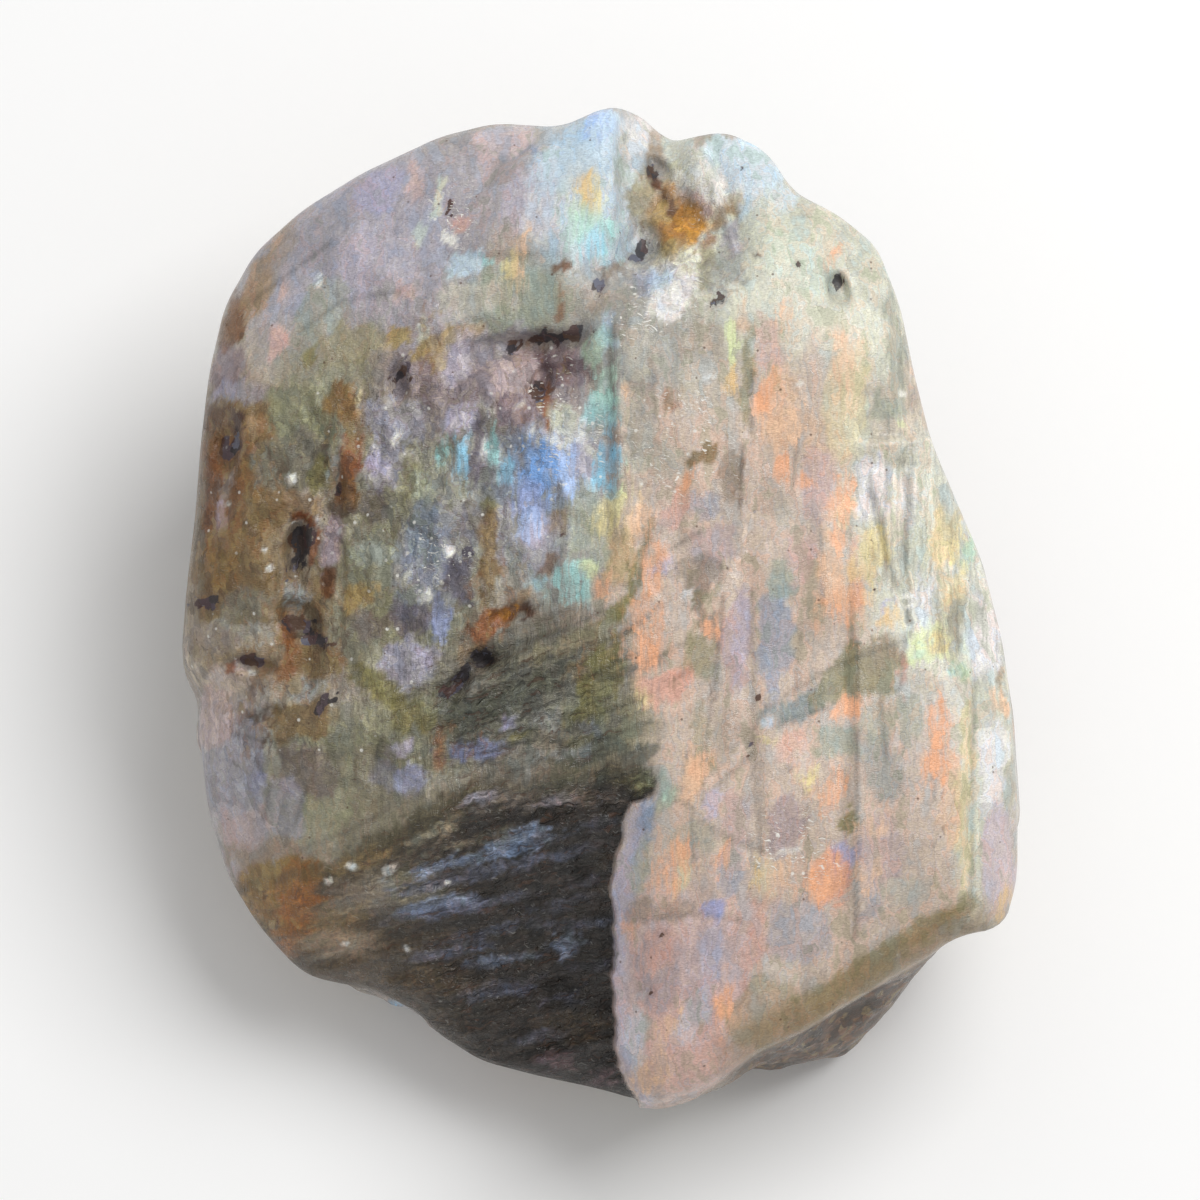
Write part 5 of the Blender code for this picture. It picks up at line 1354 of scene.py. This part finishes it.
# The painted tone with a tint and a shade for each block, crystal and chip, the play of colour in streaks,
# fibres, and the pale and dark streaks of the hollow
def addBodyColour(tree, found):
    broken, rusty, slanted, crystals = (found[name] for name in ("broken", "rusty", "slanted", "crystals"))
    colour = found["tone"]
    sound = addTint(tree, colour, found["long"], look["soundTints"])
    hackled = addTint(tree, colour, found["lumps"], look["brokenTints"])
    earthy = addTint(tree, colour, found["lumps"], look["earthTints"])
    tints = addMix(tree, broken, sound, addMix(tree, addRange(tree, rusty, 0.1, 0.6), hackled, earthy))
    colour = addMix(tree, addBlend(tree, broken, *look["tintShare"]), colour, tints)

    streaks = addSway(tree, addSway(tree, found["glowShare"], found["fibres"], 1.7), crystals[0], 0.45)
    flashing = addMath(tree, "MULTIPLY", addRange(tree, streaks, 0.15, 0.95),
                       addRange(tree, found["glowShare"], 0.0, 0.25))
    colour = addMix(tree, flashing, colour, found["glow"])

    for cells, shade in (("blocks", "blockShade"), ("crystals", "crystalShade"), ("chips", "chipShade")):
        colour = addShade(tree, colour, found[cells][0], addBlend(tree, broken, *look[shade]))
    fibreShade = addBlend(tree, slanted, *look["fibreShade"])
    fibreShade = addMath(tree, "MULTIPLY_ADD", found["slab"], look["threadShade"], fibreShade)
    colour = addShade(tree, colour, found["fibres"], fibreShade)
    fineShade = addBlend(tree, broken, *look["fineShade"])
    fineShade = addMath(tree, "MULTIPLY_ADD", found["hollowed"], look["hollowFine"], fineShade)
    colour = addShade(tree, colour, found["fine"], fineShade)

    pale = addNoise(tree, found["bent"], look["paleStreakSize"], look["hollowRise"], 2.0)
    pale = addMath(tree, "MULTIPLY", addRange(tree, pale, 0.50, 0.66), found["hollowed"])
    colour = addShade(tree, colour, addMath(tree, "MULTIPLY_ADD", pale, 0.5, 0.5), look["paleStreak"])
    dark = addNoise(tree, found["bent"], look["darkStreakSize"], look["slantRise"], 2.0)
    dark = addMath(tree, "MULTIPLY", addRange(tree, dark, 0.52, 0.40), slanted)
    return addShade(tree, colour, addMath(tree, "MULTIPLY_ADD", dark, -0.5, 0.5), look["darkStreak"])


# What lies in and on the stone: rust soaked in along the fibres, dark threads on the slope, dark grains with
# a ragged edge, fine dark specks and pale flecks, and painted glints of light. Gives the share of grain as
# well.
def addInclusions(tree, found, colour):
    rusty, crystals = found["rusty"], found["crystals"]
    soak = addMath(tree, "MULTIPLY_ADD", rusty, 0.24, addNoise(tree, found["bent"], look["rustSize"]))
    rust = addMath(tree, "MULTIPLY", addRange(tree, soak, 0.60, 0.74), addRange(tree, rusty, 0.02, 0.3))
    colour = addMix(tree, addMath(tree, "MULTIPLY", rust, look["rustShare"]), colour,
                    addRamp(tree, found["lumps"], [lightOf(name) for name in look["rustTints"]]))

    edge = addSway(tree, found["masksShare"], found["fine"], 0.35)
    edge = addSway(tree, addSway(tree, edge, crystals[0], 0.3), found["short"], 0.7)
    grain = addRange(tree, edge, 0.36, 0.50)
    colour = addMix(tree, addMath(tree, "MULTIPLY", grain, look["grainShare"]), colour,
                    addRamp(tree, crystals[1], [lightOf(name) for name in look["grainTints"]]))

    umber, white = (*lightOf("umber"), 1.0), (*lightOf("white"), 1.0)
    thread = addMath(tree, "MULTIPLY", addRange(tree, found["slant"], 0.40, 0.33),
                     addRange(tree, found["slanted"], 0.1, 0.6))
    colour = addMix(tree, addMath(tree, "MULTIPLY", thread, look["threadShare"]), colour, umber)

    bits = addNode(tree, "TexVoronoi", {"Vector": found["place"], "Scale": look["specks"]}).outputs
    chosen = addNode(tree, "SeparateColor", {0: bits["Color"]}).outputs
    specks = addMath(tree, "MULTIPLY", addRange(tree, bits["Distance"], 0.22, 0.12),
                     addRange(tree, chosen[0], 0.95, 0.96))
    colour = addMix(tree, addMath(tree, "MULTIPLY", specks, look["speckShare"][0]), colour, umber)
    likely = addMath(tree, "MULTIPLY_ADD", found["broken"], 0.13,
                     addMath(tree, "MULTIPLY_ADD", found["sparkle"], 0.16, chosen[1]))
    flecks = addMath(tree, "MULTIPLY", addRange(tree, bits["Distance"], 0.30, 0.16),
                     addRange(tree, likely, 1.04, 1.08))
    colour = addMix(tree, addMath(tree, "MULTIPLY", flecks, look["speckShare"][1]), colour, white)

    # Painted highlights: short white glints laid into the colour where crystals sparkle
    glint = addNoise(tree, found["bent"], look["glintSize"], -14.0, 1.0)
    glint = addRange(tree, addMath(tree, "MULTIPLY_ADD", found["sparkle"], 0.05, glint), 0.68, 0.71)
    held = addMath(tree, "MULTIPLY", addMath(tree, "MULTIPLY_ADD", found["sparkle"], 0.75, 0.15),
                   addRange(tree, crystals[1], 0.4, 0.55))
    return addMix(tree, addMath(tree, "MULTIPLY", glint, held), colour, white), grain


# Height of the fine relief, in depths of the bump: fibres, fine grain, and the facets of crystals and blocks
def addRelief(tree, found):
    amount = addBlend(tree, found["slanted"], *look["fibreRelief"])
    relief = addMath(tree, "MULTIPLY", found["fibres"], amount)
    for pattern, amounts in (
            ("fine", "fineRelief"), ("crystalFacet", "crystalRelief"), ("blockFacet", "blockRelief")):
        amount = addBlend(tree, found["broken"], *look[amounts])
        relief = addMath(tree, "MULTIPLY_ADD", found[pattern], amount, relief)
    return relief


# Labradorite: painted tones broken up by cleavage, with what lies in the stone, a gloss that differs from
# crystal to crystal, and fine relief
def labradoriteMaterial():
    material = bpy.data.materials.new("roughLabradorite")
    material.use_nodes = True
    tree = material.node_tree
    shader = tree.nodes["Principled BSDF"].inputs
    found = addPatterns(tree)
    colour, grain = addInclusions(tree, found, addBodyColour(tree, found))
    tree.links.new(colour, shader["Base Color"])
    gloss = addRange(tree, found["crystals"][2], 0.0, 1.0, *look["roughness"])
    gloss = addMath(tree, "MULTIPLY_ADD", grain, look["grainRoughness"], gloss)
    tree.links.new(gloss, shader["Roughness"])
    bump = addNode(tree, "Bump", {
        "Strength": 1.0, "Distance": look["bumpDepth"], "Height": addRelief(tree, found)})
    tree.links.new(bump.outputs[0], shader["Normal"])
    shader["Coat Weight"].default_value = look["coat"]
    shader["Coat Roughness"].default_value = look["coatRoughness"]
    return material


mesh = makeMesh("roughStone", points, quads, fan)
addColours(mesh, "tone", tone, np.ones(len(points)))
addColours(mesh, "glow", glow, cover)
addColours(mesh, "masks", masks[:, :3], masks[:, 3])
addColours(mesh, "zones", zones, np.ones(len(points)))
mesh.materials.append(labradoriteMaterial())
chunk = bpy.data.objects.new("roughStone", mesh)
bpy.context.scene.collection.objects.link(chunk)
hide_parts("labradorite_chunk")
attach(chunk, "root")
print("stone made:", len(mesh.polygons), "faces")


studio = {
    "floorSize": 3.0,        # m
    "floorBelow": 0.00002,   # m under the stone, so that the two don't share a plane
    "floorColour": (0.98, 0.98, 0.975, 1.0),
    "worldStrength": 0.50,
    "lightSize": 0.40,       # m
    "lightPower": 2.55,      # W
    "lightDistance": 0.6,
    "lightFrom": (0.45, 0.55, 0.75),  # in the face frame
    "cameraDistance": 0.9,
    "frameWidth": 0.07164,   # m across the picture at the middle of the face
}


# The floor under the stone, a plain pale matt sheet
def makeFloor():
    half, low = studio["floorSize"] / 2.0, -studio["floorBelow"]
    corners = [(-half, -half, low), (half, -half, low), (half, half, low), (-half, half, low)]
    sheet = bpy.data.meshes.new("floor")
    sheet.from_pydata(corners, [], [(0, 1, 2, 3)])
    material = bpy.data.materials.new("paleFloor")
    material.use_nodes = True
    shader = material.node_tree.nodes["Principled BSDF"].inputs
    shader["Base Color"].default_value = studio["floorColour"]
    shader["Roughness"].default_value = 0.9
    sheet.materials.append(material)
    floor = bpy.data.objects.new("floor", sheet)
    bpy.context.scene.collection.objects.link(floor)


# A soft light from the top right, the even light of the room, and the camera square on to the face
def makeStudio():
    scene = bpy.context.scene
    world = bpy.data.worlds.new("softRoom")
    world.use_nodes = True
    world.node_tree.nodes["Background"].inputs[0].default_value = (1.0, 1.0, 1.0, 1.0)
    world.node_tree.nodes["Background"].inputs[1].default_value = studio["worldStrength"]
    scene.world = world
    lean = math.radians(stone["lean"])
    target = np.array([-stone["middle"][0], -stone["middle"][1], stone["middleHeight"]]) * 0.001
    fromU, fromV, fromW = studio["lightFrom"]
    forward = fromV * math.cos(lean) - fromW * math.sin(lean)
    upward = fromV * math.sin(lean) + fromW * math.cos(lean)
    direction = np.array([fromU, forward, upward])
    direction /= np.linalg.norm(direction)
    lamp = bpy.data.lights.new("softLight", "AREA")
    lamp.shape = "SQUARE"
    lamp.size = studio["lightSize"]
    lamp.energy = studio["lightPower"]
    lampObject = bpy.data.objects.new("softLight", lamp)
    lampObject.location = target + direction * studio["lightDistance"]
    lampObject.rotation_euler = (
        math.acos(direction[2]), 0.0, math.atan2(direction[1], direction[0]) + math.pi / 2.0)
    scene.collection.objects.link(lampObject)
    view = bpy.data.cameras.new("camera")
    view.sensor_width = 36.0
    view.lens = 36.0 * studio["cameraDistance"] / studio["frameWidth"]
    viewObject = bpy.data.objects.new("camera", view)
    back = np.array([0.0, -math.sin(lean), math.cos(lean)]) * studio["cameraDistance"]
    viewObject.location = target + back
    viewObject.rotation_euler = (lean, 0.0, 0.0)
    scene.collection.objects.link(viewObject)
    scene.camera = viewObject
    scene.view_settings.view_transform = "Standard"


makeFloor()
makeStudio()
print("studio set")
